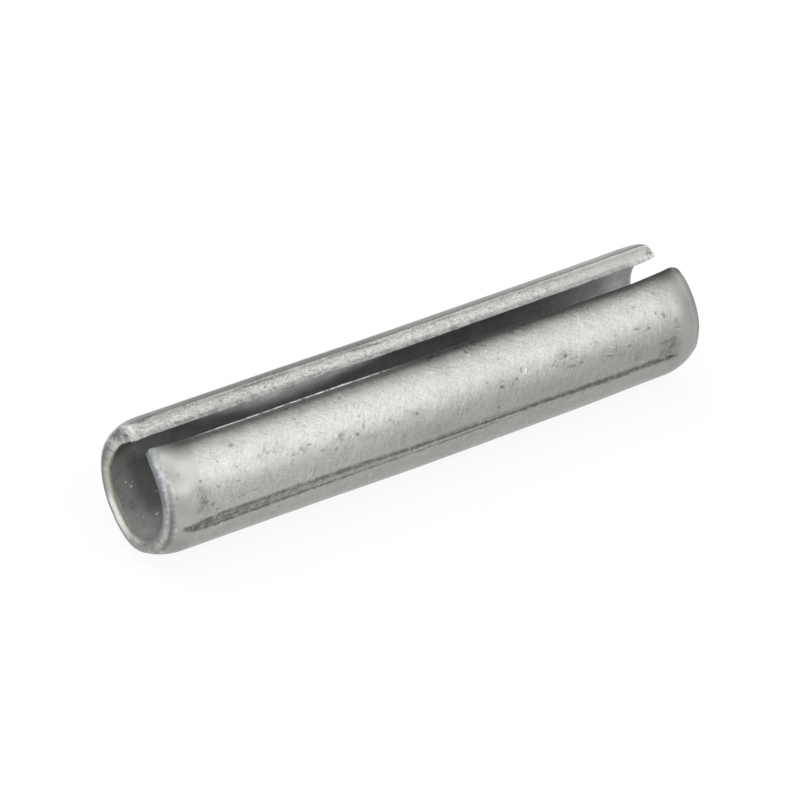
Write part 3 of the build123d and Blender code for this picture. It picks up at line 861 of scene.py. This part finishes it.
    rubbed_through = g.mul(g.mul(g.span(crumb, 0.42, 0.16), g.span(g.parts(crumb_id)[1], 0.74, 0.82)), g.mul(verge, g.span(x, -8.0, -14.0, 0.35, 1.0)))
    streak = g.math("MINIMUM", g.add(g.most(g.most(g.most(upper, lower), middle), crumbs), between), 1.0)
    streak = g.mul(g.mul(streak, g.sub(1.0, g.mul(rubbed_through, 0.6))), outer)

    # tone of the skin: 1 is plain
    tone = g.add(1.0, g.mul(relief, g.math("MULTIPLY_ADD", textured, 0.20, 0.05)))
    tone = g.add(tone, g.mul(coarse, g.math("MULTIPLY_ADD", textured, 0.12, 0.03)))
    tone = g.mul(tone, g.sub(1.0, g.mul(pit, 0.42)))
    tone = g.mul(tone, g.sub(1.0, g.mul(small, 0.22)))
    tone = g.add(tone, g.mul(bright, 0.22))
    # painted shade and painted highlight of the nicks
    tone = g.mul(tone, g.sub(1.0, g.mul(nick_shade, 0.26)))
    tone = g.add(tone, g.mul(nick_highlight, 0.24))
    dark, light = spots(g, x, x_share, arc, g.add(about(grain, 1.1), about(fine, 1.5)), [(x0, math.radians(d) * 5.35, *rest) for x0, d, *rest in MARKS])
    tone = g.mul(tone, g.sub(1.0, g.mul(dark, 0.60)))
    tone = g.add(tone, g.mul(light, 0.62))
    tone = g.mul(tone, g.sub(1.0, g.mul(g.mul(stained, g.span(g.add(grain, about(fine, 0.7)), 0.49, 0.60)), 0.85)))
    tone = g.mul(tone, g.sub(1.0, g.mul(streak, 0.68)))
    tone = g.mul(tone, g.mul(g.profile(g.add(x, 25.0), 50.0, [(0.0, 0.91), (3.0, 0.91), (7.0, 0.945), (15.0, 0.936), (25.0, 0.927), (33.0, 0.964), (43.0, 0.973), (47.0, 0.936), (49.0, 0.88)]), 1.1))

    # painted shade: a dark line beside the near lip's rounded corner, broken and wider in places
    blot = g.noise(g.lean(skin, 0, 1.3, 0.5), 0.9, 4, 0.6)
    ragged = g.sub(g.add(off_near, about(g.noise(skin, 2.6, 4, 0.65), 0.16)), about(blot, 0.22))
    near_lip_shade_left = g.profile(ragged, 1.6, [(0.0, 0.30), (0.22, 0.31), (0.38, 0.30), (0.53, 0.48), (0.70, 0.67), (0.90, 0.83), (1.15, 0.95), (1.45, 1.0)])
    near_lip_shade_right = g.profile(ragged, 1.6, [(0.0, 0.23), (0.22, 0.21), (0.38, 0.33), (0.53, 0.54), (0.70, 0.71), (0.90, 0.845), (1.15, 0.94), (1.45, 1.0)])
    near_lip_shade = g.blend1(g.span(x, -4.0, 1.0), near_lip_shade_left, near_lip_shade_right)
    ends = g.mul(g.profile(g.add(x, 25.0), 5.0, [(0.0, 0.25), (1.5, 0.56), (2.4, 0.85), (3.6, 1.0)]), g.span(x, 24.0, 18.5, 0.85, 1.0))
    tone = g.mul(tone, g.sub(1.0, g.mul(g.mul(g.sub(1.0, near_lip_shade), outer), ends)))

    # painted shade along the far side's top, most on the left half, broken into lines along the pin
    lines = g.noise(g.lean(skin, 0, 3.0, 0.25), 1.0, 4, 0.65)
    off = g.add(off_far, about(lines, 0.35))
    far_top_shade_left = g.profile(off, 2.2, [(0.0, 0.64), (0.22, 0.60), (0.40, 0.50), (0.65, 0.34), (0.95, 0.44), (1.3, 0.8), (2.0, 1.0)])
    far_top_shade_right = g.profile(off, 2.2, [(0.0, 0.86), (0.22, 0.82), (0.40, 0.76), (0.65, 0.60), (0.95, 0.69), (1.3, 0.9), (2.0, 1.0)])
    far_top_shade = g.blend1(g.span(x, -4.0, 0.8), far_top_shade_left, far_top_shade_right)
    share = g.parts(g.ramp(x_share, [((a + 25) / 50, (f, f, f)) for a, f in ((-24.5, 0.45), (-21.5, 0.60), (-18.5, 1.0), (8.0, 1.0), (14.0, 0.35), (20.5, 0.12), (22.5, 0.0))]))[0]
    tone = g.mul(tone, g.sub(1.0, g.mul(g.mul(g.sub(1.0, far_top_shade), outer), share)))

    # pressed smooth by the swage: duller or brighter from place to place
    pressed = g.profile(turn, 360.0, [(0.0, 0.87), (40.0, 0.85), (55.0, 0.78), (62.0, 0.81), (75.0, 0.95), (84.0, 1.0), (93.0, 1.0), (107.0, 0.97), (112.0, 0.90), (126.0, 0.84), (160.0, 0.87)])
    pressed = g.mul(pressed, g.span(g.math("ABSOLUTE", g.sub(turn, 90.0)), 13.0, 3.0, 1.0, 1.08))
    tone = g.mul(tone, g.blend1(g.mul(sleek, left), 1.0, pressed))
    # painted shade over the right end's swage, which turns away from the lights
    end_x = g.add(g.sub(x, 19.0), about(patch, 0.6))
    right_end_shade = g.mul(g.profile(end_x, 6.0, [(0.0, 0.833), (1.2, 0.883), (1.9, 0.85), (2.5, 0.76), (3.4, 0.72), (4.4, 0.73), (6.0, 0.76)]), 1.12)
    tone = g.mul(tone, g.blend1(g.mul(g.sub(1.0, left), g.span(turn, 66.0, 50.0, 0.45, 1.0)), 1.0, right_end_shade))

    hue = about(g.noise(skin, 0.55, 3, 0.6), 0.05)
    # painted shade by turn round the pin, darkest towards the underside
    shade_by_turn = g.profile(turn, 360.0, [(0.0, 0.875), (50.0, 0.89), (60.0, 0.865), (72.0, 0.84), (88.0, 0.82), (104.0, 0.755), (115.0, 0.675), (150.0, 0.665), (200.0, 0.75), (240.0, 0.79)])
    tone = g.mul(tone, g.mul(shade_by_turn, 1.2))
    # painted light on the far lip's tip at the right end
    tone = g.mul(tone, g.add(1.0, g.mul(g.span(x, 24.1, 24.7), g.span(turn, 320.0, 334.0, 0.0, 0.45))))
    grimy = g.profile(turn, 360.0, [(50.0, 0.0), (57.0, 0.06), (63.0, 0.09), (69.0, 0.12), (75.0, 0.18), (90.0, 0.18), (102.0, 0.11), (115.0, 0.06), (130.0, 0.0)])
    to_right = g.profile(g.add(x, 25.0), 50.0, [(0.0, 0.0), (14.0, 0.0), (21.0, 0.45), (28.0, 0.62), (35.0, 0.68), (39.0, 0.8), (47.0, 0.8), (48.0, 0.0)])
    tone = g.mul(tone, g.sub(1.0, g.mul(g.mul(grimy, to_right), g.span(patch, 0.30, 0.60, 0.75, 1.25))))
    plain = g.put("ShaderNodeCombineXYZ", g.mul(tone, g.add(0.380, g.mul(hue, 0.38))), g.mul(tone, 0.381), g.mul(tone, g.sub(0.362, g.mul(hue, 0.30)))).outputs[0]
    cool = g.mul(g.mul(sleek, g.span(x, 20.0, 23.5)), 0.22)
    skin_colour = g.blend(g.mul(cool, g.span(off_near, 0.8, 1.6)), plain, g.put("ShaderNodeCombineXYZ", g.mul(tone, 0.335), g.mul(tone, 0.366), g.mul(tone, 0.350)).outputs[0])

    # sheared faces of the slot
    shear = g.noise(g.put("ShaderNodeVectorMath", skin, (0.55, 1.0, 1.3), operation="MULTIPLY").outputs[0], 3.4, 5, 0.65, 0.6)
    jag = g.add(radius, about(g.noise(skin, 2.6, 4, 0.65), 0.42))
    bars = g.noise(g.put("ShaderNodeVectorMath", skin, (2.4, 0.0, 0.5), operation="MULTIPLY").outputs[0], 1.0, 3, 0.6)
    busy_face = g.span(x, 18.5, 13.0, 0.40, 1.0)
    face = g.add(g.add(about(shear, 0.9), about(fine, 1.9)), g.add(about(grain, 0.8), g.mul(about(bars, 0.55), g.span(x, -7.0, 1.0, 0.3, 1.0))))
    face = g.add(1.0, g.mul(face, busy_face))
    # torn along the inner corner
    hem_where = g.noise(g.put("ShaderNodeVectorMath", skin, (1.25, 0.0, 2.6), operation="MULTIPLY").outputs[0], 1.0, 4, 0.75, 0.4)
    hem = g.mul(g.span(jag, 4.66, 4.44), g.span(g.add(hem_where, g.span(x, -1.0, 3.0, 0.0, 0.04)), 0.48, 0.57))
    face = g.mul(face, g.sub(1.0, g.mul(hem, 0.55)))
    tear = g.mul(g.span(g.noise(skin, 1.7, 5, 0.75), 0.585, 0.66), g.span(jag, 5.3, 4.7, 0.25, 1.0))
    face = g.mul(face, g.sub(1.0, g.mul(g.mul(tear, 0.50), busy_face)))
    # fine scored lines along the outer corner: dark lines, and painted glints as bright dashes
    drawn = g.noise(g.lean(skin, 0, 5.0, 0.3), 1.0, 3, 0.6)
    lined = g.noise(g.put("ShaderNodeVectorMath", skin, (0.20, 0.0, 5.5), operation="MULTIPLY").outputs[0], 1.0, 3, 0.6)
    top_zone = g.mul(g.span(radius, 4.92, 5.06), g.span(x, 17.0, 12.0, 0.3, 1.0))
    face = g.mul(face, g.sub(1.0, g.mul(g.mul(g.mul(g.span(lined, 0.50, 0.58), g.span(drawn, 0.4, 0.6)), top_zone), 0.42)))
    face = g.add(face, g.mul(g.mul(g.mul(g.span(lined, 0.44, 0.38), g.span(drawn, 0.50, 0.66)), top_zone), 0.34))
    # painted shading across the far slot face by radius, darker towards its outer corner, and darker still there left
    # of the middle
    face = g.mul(face, g.mul(g.most(g.span(x, 11.0, 16.5, 0.0, 0.73), g.profile(g.sub(radius, 4.2), 1.2, [(0.0, 0.84), (0.25, 0.85), (0.35, 0.90), (0.47, 0.90), (0.58, 0.84), (0.75, 0.833), (0.86, 0.75), (0.95, 0.65), (1.05, 0.69), (1.14, 0.71)])), 1.25))
    face = g.mul(face, g.sub(1.0, g.mul(g.mul(g.span(radius, 5.15, 5.34), g.span(x, 2.0, -4.0)), 0.35)))
    # the far lip's outer corner is worn off near the left end; its shade is painted onto the face there
    worn_corner_shade = g.span(g.add(g.add(radius, about(grain, 0.3)), g.span(x, -24.5, -21.0, 0.12, -0.35)), 5.02, 5.12)
    face = g.mul(face, g.sub(1.0, g.mul(g.mul(worn_corner_shade, g.span(x, -20.5, -22.0)), 0.40)))
    # painted light on the far slot face at the right tip
    face = g.mul(face, g.span(x, 24.1, 24.7, 1.0, 1.30))
    face = g.mul(face, g.sub(1.0, g.mul(pit, 0.5)))
    face = g.mul(face, g.sub(1.0, g.mul(small, 0.4)))
    torn, glints = spots(g, x, x_share, radius, g.add(about(grain, 1.0), about(fine, 1.3)), FACE_MARKS)
    far_side = g.span(turn, 170.0, 190.0)
    face = g.mul(face, g.sub(1.0, g.mul(g.mul(torn, far_side), 0.62)))
    face = g.add(face, g.mul(g.mul(glints, far_side), 0.45))
    face_colour = g.put("ShaderNodeCombineXYZ", g.mul(face, 0.450), g.mul(face, 0.456), g.mul(face, 0.434)).outputs[0]
    colour = g.blend(g.span(lip, 0.35, 0.95), skin_colour, face_colour)

    # painted highlight along the burr on the near lip's corner
    corner = g.mul(g.mul(g.span(g.add(lip, g.span(off_near, 0.20, 0.04, 0.0, 0.5)), 0.10, 0.42), g.span(lip, 0.99, 0.8)), g.span(radius, 4.95, 5.15))
    along = g.ramp(x_share, [(0.08, (0, 0, 0)), (0.12, (0.8, 0.8, 0.8)), (0.355, (1, 1, 1)), (0.415, (0.6, 0.6, 0.6)), (0.456, (0, 0, 0))])
    beads = g.span(g.noise(g.lean(skin, 0, 0.9, 4.0), 1.9, 4, 0.65), 0.36, 0.56, 0.16, 1.0)
    burr = g.mul(g.mul(g.mul(corner, g.parts(along)[0]), beads), g.mul(g.span(off_near, 1.0, 0.4), g.span(turn, 60.0, 40.0)))
    near_side = g.span(turn, 60.0, 40.0)
    # painted shade on the near lip's slot face, which looks into the gap: nearly black from the middle rightwards, dark
    # grey to the left
    near_face_shade = g.mul(g.mul(g.span(lip, 0.05, 0.35), near_side), g.mul(g.span(x, -4.0, 0.0), g.span(x, 25.0, 21.0, 0.5, 1.0)))
    colour = g.blend(g.mul(near_face_shade, 0.85), colour, (0.07, 0.07, 0.068, 1))
    near_face_shade_left = g.mul(g.mul(g.span(lip, 0.05, 0.35), near_side), g.span(x, 0.0, -4.0))
    colour = g.blend(g.mul(near_face_shade_left, 0.6), colour, (0.16, 0.16, 0.155, 1))
    # the burr's painted highlight
    colour = g.blend(burr, colour, (0.95, 0.96, 0.95, 1))

    # bore: mottled scale, painted lighter near both mouths where light comes in, and painted darker as shade deeper in,
    # low on the far side
    scale = g.add(1.0, g.mul(g.add(g.add(about(patch, 1.1), about(cloud, 0.9)), about(grain, 1.0)), 0.55))
    tiny, tiny_id = g.cells(skin, 2.3)
    dust = g.mul(g.span(tiny, 0.16, 0.06), g.span(g.parts(tiny_id)[0], 0.86, 0.90))
    low_mouth_light = g.mul(g.span(x, -21.3, -23.6), g.mul(g.span(turn, 152.0, 174.0), g.span(turn, 250.0, 190.0)))
    mouth_light = g.most(g.mul(g.span(x, -21.8, -24.2), 0.35), g.most(g.mul(low_mouth_light, 0.6), g.span(x, 21.3, 24.0)))
    deep_shade = g.mul(g.mul(g.span(x, -23.4, -21.8), g.span(x, -10.0, -16.0)), g.mul(g.span(turn, 190.0, 212.0), g.span(turn, 268.0, 255.0)))
    scale = g.mul(g.mul(scale, g.math("MULTIPLY_ADD", mouth_light, 0.255, 0.305)), g.sub(1.0, g.mul(deep_shade, 0.42)))
    bore = g.put("ShaderNodeCombineXYZ", scale, g.mul(scale, 1.01), g.mul(scale, 0.985)).outputs[0]
    bore = g.blend(g.mul(dust, 0.8), bore, (0.85, 0.85, 0.85, 1))
    smear, flecks = spots(g, x, x_share, arc, g.add(about(grain, 0.9), about(fine, 1.2)), [(x0, math.radians(d) * 5.35, *rest) for x0, d, *rest in BORE_MARKS])
    bore = g.blend(g.mul(smear, 0.75), bore, (0.06, 0.062, 0.06, 1))
    bore = g.blend(flecks, bore, (0.95, 0.95, 0.93, 1))
    colour = g.blend(g.span(inside, 0.5, 0.9), colour, bore)
    # the far slot face is torn over its inner corner too, and painted dark along it as shade
    over = g.mul(g.mul(g.span(jag, 4.70, 4.46), g.span(hem_where, 0.46, 0.56)), g.mul(g.span(lip, 0.02, 0.30), g.span(turn, 180.0, 200.0)))
    colour = g.blend(g.mul(over, g.span(x, 23.0, 16.0, 0.40, 0.62)), colour, (0.09, 0.09, 0.088, 1))

    # rims: rubbed bare metal with stained borders, uneven around the mouth; the bands across each rim, set sector by
    # sector round the turn, also hold painted highlights and painted shade
    def bands(stops):
        return g.boxed("bands", [warped], lambda g, warped: [g.ramp(g.math("MULTIPLY_ADD", warped, 0.4, 0.4), [((d + 1) / 2.5, tuple(f * k for k in tint)) for d, f, tint in stops])])[0]

    cold, even, warm, rust = (0.90, 0.985, 1.04), (0.985, 1.0, 0.975), (1.015, 1.0, 0.95), (1.14, 1.0, 0.84)
    rub = g.add(g.noise(skin, 1.7, 4, 0.6, 0.4), about(grain, 0.6))
    warped = g.add(reach, about(g.noise(skin, 1.3, 4, 0.6), 0.17))
    warped = g.add(warped, g.mul(g.profile(turn, 360.0, [(18.0, 0.35), (24.0, 0.5), (30.0, 0.72), (36.0, 0.55), (42.0, 0.5)]), g.mul(left, 1.0)))
    warped = g.sub(warped, g.mul(left, 0.5))
    near_top = bands([(-0.5, 0.30, cold), (0.0, 0.17, cold), (0.28, 0.17, cold), (0.5, 0.25, cold), (0.72, 0.27, cold), (0.88, 0.40, cold),
                      (1.04, 0.42, even), (1.18, 0.33, even), (1.32, 0.35, even), (1.45, 0.38, even)])
    near_mid = bands([(-0.5, 0.34, even), (-0.1, 0.17, cold), (0.18, 0.12, cold), (0.36, 0.16, cold), (0.52, 0.23, cold), (0.62, 0.24, cold),
                      (0.74, 0.42, even), (0.84, 0.40, even), (0.95, 0.28, even), (1.05, 0.24, even), (1.18, 0.30, even), (1.32, 0.36, even), (1.45, 0.39, even)])
    near_low = bands([(-0.5, 0.34, even), (-0.1, 0.20, cold), (0.18, 0.17, cold), (0.36, 0.27, cold), (0.52, 0.40, even), (0.68, 0.40, warm),
                      (0.80, 0.31, warm), (0.92, 0.16, warm), (1.04, 0.18, even), (1.16, 0.27, even), (1.32, 0.34, even), (1.45, 0.39, even)])
    low = bands([(-0.5, 0.30, warm), (-0.2, 0.15, warm), (0.0, 0.17, warm), (0.18, 0.19, warm), (0.36, 0.31, warm), (0.50, 0.40, warm), (0.64, 0.36, warm),
                 (0.80, 0.28, warm), (0.95, 0.15, warm), (1.10, 0.15, warm), (1.22, 0.20, even), (1.36, 0.27, even), (1.45, 0.33, even)])
    low_back = bands([(-0.65, 0.40, even), (-0.45, 0.30, rust), (-0.3, 0.18, warm), (-0.12, 0.18, warm), (0.1, 0.22, warm), (0.35, 0.27, warm),
                      (0.5, 0.24, warm), (0.8, 0.25, warm), (1.0, 0.18, rust), (1.15, 0.18, warm), (1.3, 0.22, warm), (1.45, 0.28, even)])
    bottom = bands([(-0.65, 0.48, even), (-0.45, 0.42, rust), (-0.3, 0.33, warm), (-0.12, 0.37, warm), (0.1, 0.29, warm), (0.35, 0.30, warm),
                    (0.5, 0.34, warm), (0.8, 0.32, warm), (1.0, 0.22, warm), (1.3, 0.27, warm), (1.45, 0.32, even)])
    back = bands([(-0.65, 0.52, even), (-0.42, 0.32, rust), (-0.30, 0.40, rust), (-0.16, 0.70, warm), (0.08, 0.74, even), (0.17, 0.55, even),
                  (0.26, 0.22, even), (0.45, 0.22, even), (0.9, 0.33, even)])
    back_top = bands([(-0.7, 0.30, even), (-0.52, 0.34, rust), (-0.4, 0.40, rust), (-0.1, 0.41, even), (0.05, 0.39, even), (0.2, 0.21, warm),
                      (0.32, 0.23, warm), (0.5, 0.34, warm), (0.9, 0.38, even)])
    far_top = bands([(-0.8, 0.45, warm), (-0.6, 0.66, rust), (-0.4, 0.66, rust), (-0.2, 0.48, even), (0.0, 0.30, even), (0.2, 0.18, even),
                     (0.32, 0.14, even), (0.5, 0.42, even), (0.8, 0.50, even), (1.2, 0.40, even)])
    wandering = g.add(turn, about(patch, 24.0))
    rim_tint_and_shading = g.blend(g.span(wandering, 44.0, 56.0, soft=False), near_top, near_mid)
    rim_tint_and_shading = g.blend(g.span(wandering, 68.0, 80.0, soft=False), rim_tint_and_shading, near_low)
    rim_tint_and_shading = g.blend(g.span(turn, 102.0, 116.0), rim_tint_and_shading, low)
    rim_tint_and_shading = g.blend(g.span(wandering, 124.0, 138.0, soft=False), rim_tint_and_shading, low_back)
    rim_tint_and_shading = g.blend(g.span(wandering, 148.0, 164.0, soft=False), rim_tint_and_shading, bottom)
    rim_tint_and_shading = g.blend(g.span(wandering, 174.0, 192.0, soft=False), rim_tint_and_shading, back)
    rim_tint_and_shading = g.blend(g.span(turn, 226.0, 240.0), rim_tint_and_shading, back_top)
    rim_tint_and_shading = g.blend(g.span(turn, 262.0, 280.0), rim_tint_and_shading, far_top)
    # the right rim is painted darker: shade on a rounding that turns away
    right_rim = bands([(-0.7, 0.52, even), (-0.45, 0.50, even), (-0.3, 0.50, even), (0.2, 0.44, even), (0.38, 0.22, warm), (0.70, 0.19, warm),
                       (0.88, 0.21, warm), (1.05, 0.26, warm), (1.3, 0.295, warm), (1.45, 0.33, even)])
    rim_tint_and_shading = g.blend(g.sub(1.0, left), rim_tint_and_shading, right_rim)
    crust = g.cells(g.shift(skin, g.noise_colour(skin, 3.0), 0.3), 4.2)
    spotty = g.mul(g.span(crust[0], 0.34, 0.14), g.span(g.parts(crust[1])[0], 0.50, 0.60))
    glitter = g.mul(g.span(crust[0], 0.30, 0.12), g.span(g.parts(crust[1])[1], 0.80, 0.88))
    busy = g.blend1(left, 0.25, 1.0)
    clean = g.mul(g.span(turn, 186.0, 200.0), g.span(turn, 268.0, 250.0))
    busy = g.mul(busy, g.sub(1.0, g.mul(clean, 0.6)))
    rough_part = g.most(g.mul(g.span(turn, 118.0, 132.0), g.span(turn, 188.0, 176.0)), g.span(turn, 272.0, 290.0))
    rubbed_and_shaded = g.blend(g.mul(g.mul(g.span(rub, 0.56, 0.36), 0.32), busy), rim_tint_and_shading, (0.10, 0.105, 0.105, 1))
    rubbed_and_shaded = g.blend(g.mul(g.mul(g.span(rub, 0.56, 0.76), 0.45), busy), rubbed_and_shaded, (0.62, 0.63, 0.62, 1))
    rubbed_and_shaded = g.blend(g.mul(g.mul(spotty, g.add(0.42, g.mul(rough_part, 0.40))), busy), rubbed_and_shaded, (0.09, 0.09, 0.085, 1))
    rubbed_and_shaded = g.blend(g.mul(g.mul(glitter, g.add(0.20, g.mul(rough_part, 0.60))), busy), rubbed_and_shaded, (0.72, 0.72, 0.70, 1))
    blotched = g.mul(g.mul(g.span(turn, 284.0, 300.0), left), g.span(warped, -0.75, -0.5))
    rubbed_and_shaded = g.blend(g.mul(g.mul(g.span(g.add(patch, about(grain, 0.4)), 0.50, 0.60), 0.55), blotched), rubbed_and_shaded, (0.115, 0.12, 0.105, 1))
    rubbed_and_shaded = g.blend(g.mul(g.mul(g.span(g.add(patch, about(fine, 0.5)), 0.46, 0.37), 0.55), blotched), rubbed_and_shaded, (0.60, 0.61, 0.58, 1))
    rubbed_and_shaded = g.blend(g.mul(g.mul(left, g.span(turn, 31.0, 21.0)), 0.50), rubbed_and_shaded, (0.15, 0.155, 0.155, 1))
    shaded_corner = g.mul(g.mul(g.sub(1.0, left), g.span(g.add(turn, about(patch, 8.0)), 31.0, 24.0)), 0.55)
    rubbed_and_shaded = g.blend(shaded_corner, rubbed_and_shaded, (0.07, 0.065, 0.06, 1))
    rim = g.mul(g.span(warped, -0.90, -0.66), g.span(warped, 1.55, 1.30))
    rim = g.mul(rim, g.math("MULTIPLY_ADD", g.span(lip, 0.3, 0.9), -0.55, 1.0))
    rim = g.mul(rim, g.sub(1.0, g.mul(g.mul(g.sub(1.0, left), g.span(turn, 296.0, 322.0)), 0.85)))
    colour = g.blend(rim, colour, rubbed_and_shaded)
    g.feed(shader.inputs["Base Color"], colour)

    # metallic, roughness, height
    worn_rim = g.mul(rim, 0.35)
    metal = g.sub(g.sub(1.0, g.mul(g.span(inside, 0.5, 0.9), 0.45)), worn_rim)
    metal = g.sub(metal, g.mul(g.span(lip, 0.35, 0.95), 0.25))
    g.feed(shader.inputs["Metallic"], g.mul(metal, g.sub(1.0, g.mul(streak, 0.25))))
    rough = g.add(0.375, g.mul(g.add(about(patch, 0.6), about(grain, 0.5)), g.mul(textured, 0.16)))
    rough = g.add(rough, g.mul(g.most(lip, g.mul(inside, 1.6)), 0.12))
    rough = g.add(rough, g.mul(g.most(streak, pit), 0.12))
    g.feed(shader.inputs["Roughness"], g.math("MINIMUM", rough, 0.8))
    height = g.mul(relief, g.math("MULTIPLY_ADD", textured, 0.0052, 0.0010))
    height = g.add(height, g.mul(coarse, 0.004))
    height = g.sub(height, g.mul(pit, 0.012))
    height = g.add(height, g.mul(g.span(lip, 0.35, 0.95), g.mul(shear, 0.020)))
    height = g.add(height, g.mul(rim, g.mul(rub, 0.030)))
    bump = g.put("ShaderNodeBump")
    bump.inputs["Strength"].default_value = 1.0
    bump.inputs["Distance"].default_value = 0.001
    g.feed(bump.inputs["Height"], height)
    g.feed(shader.inputs["Normal"], bump.outputs[0])
    return material


mesh.materials.append(steel())


# ---------------------------------------------------------------------------
# Camera, floor and lights
# ---------------------------------------------------------------------------
MM = 0.001
scene = bpy.context.scene
scene.view_settings.view_transform = "Standard"
scene.view_settings.look = "None"


def unit(v):
    return v / np.linalg.norm(v)


# The camera is worked out in its own frame: x right, y down, z ahead, with the
# pin's middle at `centre` and its axis along `along`, both in outer radii.
FOCAL_PX = 5851.04
DISTANCE = 84.728
TILT = math.radians(19.624)         # of the axis in the picture
SWING = math.radians(29.139)        # of the axis away from the picture plane
centre = np.array([(405.174 - 400) / FOCAL_PX, (396.944 - 400) / FOCAL_PX, 1]) * DISTANCE
along = np.array([math.cos(SWING) * math.cos(TILT), -math.cos(SWING) * math.sin(TILT), math.sin(SWING)])
toward = unit((centre @ along) * along - centre)
upward = np.cross(along, toward)
upward *= -np.sign(upward[1])
SLOT_TURN = math.radians(43.0)      # from `upward` towards the camera
pin_z = math.cos(SLOT_TURN) * upward + math.sin(SLOT_TURN) * toward
pin_y = np.cross(pin_z, along)
axes = np.stack([along, pin_y, pin_z])          # rows: pin axes in camera terms
place = -axes @ centre * OUTER * MM
turn_matrix = axes @ np.diag([1, -1, -1])       # to Blender's camera, y up and z back
camera_data = bpy.data.cameras.new("camera")
camera_data.sensor_width = 36.0
camera_data.lens = FOCAL_PX / 800 * 36.0
camera_data.clip_start, camera_data.clip_end = 0.01, 20
camera = bpy.data.objects.new("camera", camera_data)
scene.collection.objects.link(camera)
camera.matrix_world = Matrix.Translation(Vector(place)) @ Matrix(turn_matrix.tolist()).to_4x4()
scene.camera = camera

floor_mesh = bpy.data.meshes.new("floor")
s = 1.2
floor_mesh.from_pydata([(-s, -s, -OUTER * MM), (s, -s, -OUTER * MM), (s, s, -OUTER * MM), (-s, s, -OUTER * MM)], [], [(0, 1, 2, 3)])
floor = bpy.data.objects.new("floor", floor_mesh)
scene.collection.objects.link(floor)
floor_mat = bpy.data.materials.new("floor")
floor_mat.use_nodes = True
nodes = floor_mat.node_tree.nodes
nodes["Principled BSDF"].inputs["Base Color"].default_value = (0.08, 0.08, 0.08, 1)
nodes["Principled BSDF"].inputs["Roughness"].default_value = 0.9
nodes["Principled BSDF"].inputs["Specular IOR Level"].default_value = 0.0
nodes["Principled BSDF"].inputs["Emission Color"].default_value = (1, 1, 1, 1)
nodes["Principled BSDF"].inputs["Emission Strength"].default_value = 0.90
floor_mesh.materials.append(floor_mat)

world = bpy.data.worlds.new("world")
world.use_nodes = True
nt = world.node_tree
coord = nt.nodes.new("ShaderNodeTexCoord")
split_xyz = nt.nodes.new("ShaderNodeSeparateXYZ")
ramp = nt.nodes.new("ShaderNodeValToRGB")
nt.links.new(coord.outputs["Generated"], split_xyz.inputs[0])
nt.links.new(split_xyz.outputs["Z"], ramp.inputs["Fac"])
nt.links.new(ramp.outputs["Color"], nt.nodes["Background"].inputs["Color"])
stops = ramp.color_ramp.elements
stops[0].position, stops[0].color = 0.10, (0.93, 0.93, 0.93, 1)
stops[1].position, stops[1].color = 0.32, (0.12, 0.12, 0.12, 1)
nt.nodes["Background"].inputs["Strength"].default_value = 1.0
scene.world = world


def softbox(azimuth, elevation, wide, tall, brightness):
    """A soft panel a metre off, facing the pin, of this many degrees each way.
    Azimuth 0 is in front, over -Y; 90 is over +X."""
    a, e = math.radians(azimuth), math.radians(elevation)
    back = Vector((math.sin(a) * math.cos(e), -math.cos(a) * math.cos(e), math.sin(e)))
    data = bpy.data.lights.new("softbox", "AREA")
    data.shape = "RECTANGLE"
    data.size = 2 * math.tan(math.radians(wide / 2)) * max(math.cos(e), 0.3)
    data.size_y = 2 * math.tan(math.radians(tall / 2))
    data.energy = math.pi * data.size * data.size_y * brightness
    light = bpy.data.objects.new("softbox", data)
    scene.collection.objects.link(light)
    light.location = back
    light.rotation_mode = "QUATERNION"
    light.rotation_quaternion = back.to_track_quat("Z", "Y")
    light.visible_camera = False


# A broad bank of soft panels round the front, brightest ahead and to the
# right, with weaker ones at the sides, behind and overhead.
for elevation, panels in (
    (22, {-90: 1.0, -60: 1.4, -30: 1.0, 0: 3.95, 30: 2.65, 60: 0.85, 90: 2.0, -135: 0.8}),
    (37, {-90: 0.6, -60: 1.5, -30: 1.8, 0: 0.65, 30: 2.25, 60: 1.1, 90: 0.6, 120: 0.8, 180: 1.6, -135: 2.1}),
    (52, {-90: 1.3, -60: 1.3, -30: 1.45, 0: 1.0, 30: 3.35, 60: 1.55, 180: 1.2, -135: 2.15}),
):
    for azimuth, brightness in panels.items():
        softbox(azimuth, elevation, 50 if azimuth in (180, -135) else 30, 15, brightness)
for azimuth, brightness in {-60: 1.3, 0: 1.7, 60: 0.3, 120: 0.45, 180: 1.6, -135: 1.65}.items():
    softbox(azimuth, 67, 50, 15, brightness)
softbox(0, 90, 60, 30, 3.75)

# The light that the white sweep throws into the bore through its left mouth,
# as a row of small soft spots from low on the near side to the wall opposite.
for x_mm, turn_aim, share in ((-15.5, 325, 0.8), (-13.0, 319, 1.0), (-10.5, 314, 1.1), (-8.0, 313, 1.1), (-5.5, 315, 1.1), (-3.0, 319, 1.1), (-0.5, 324, 1.1), (2.0, 331, 1.0), (4.2, 338, 0.7)):
    start, aim = (np.array([x_mm, -r_mm * math.sin(math.radians(deg)), r_mm * math.cos(math.radians(deg))]) for r_mm, deg in ((3.6, 122), (4.3, turn_aim)))
    lamp = bpy.data.lights.new("bore_fill", "SPOT")
    lamp.energy = 0.00225 * share
    lamp.spot_size = math.radians(52)
    lamp.spot_blend = 1.0
    lamp.shadow_soft_size = 0.0004
    fill = bpy.data.objects.new("bore_fill", lamp)
    scene.collection.objects.link(fill)
    fill.location = (start * MM).tolist()
    fill.rotation_euler = Vector((aim - start).tolist()).to_track_quat("-Z", "Y").to_euler()
    fill.visible_camera = False
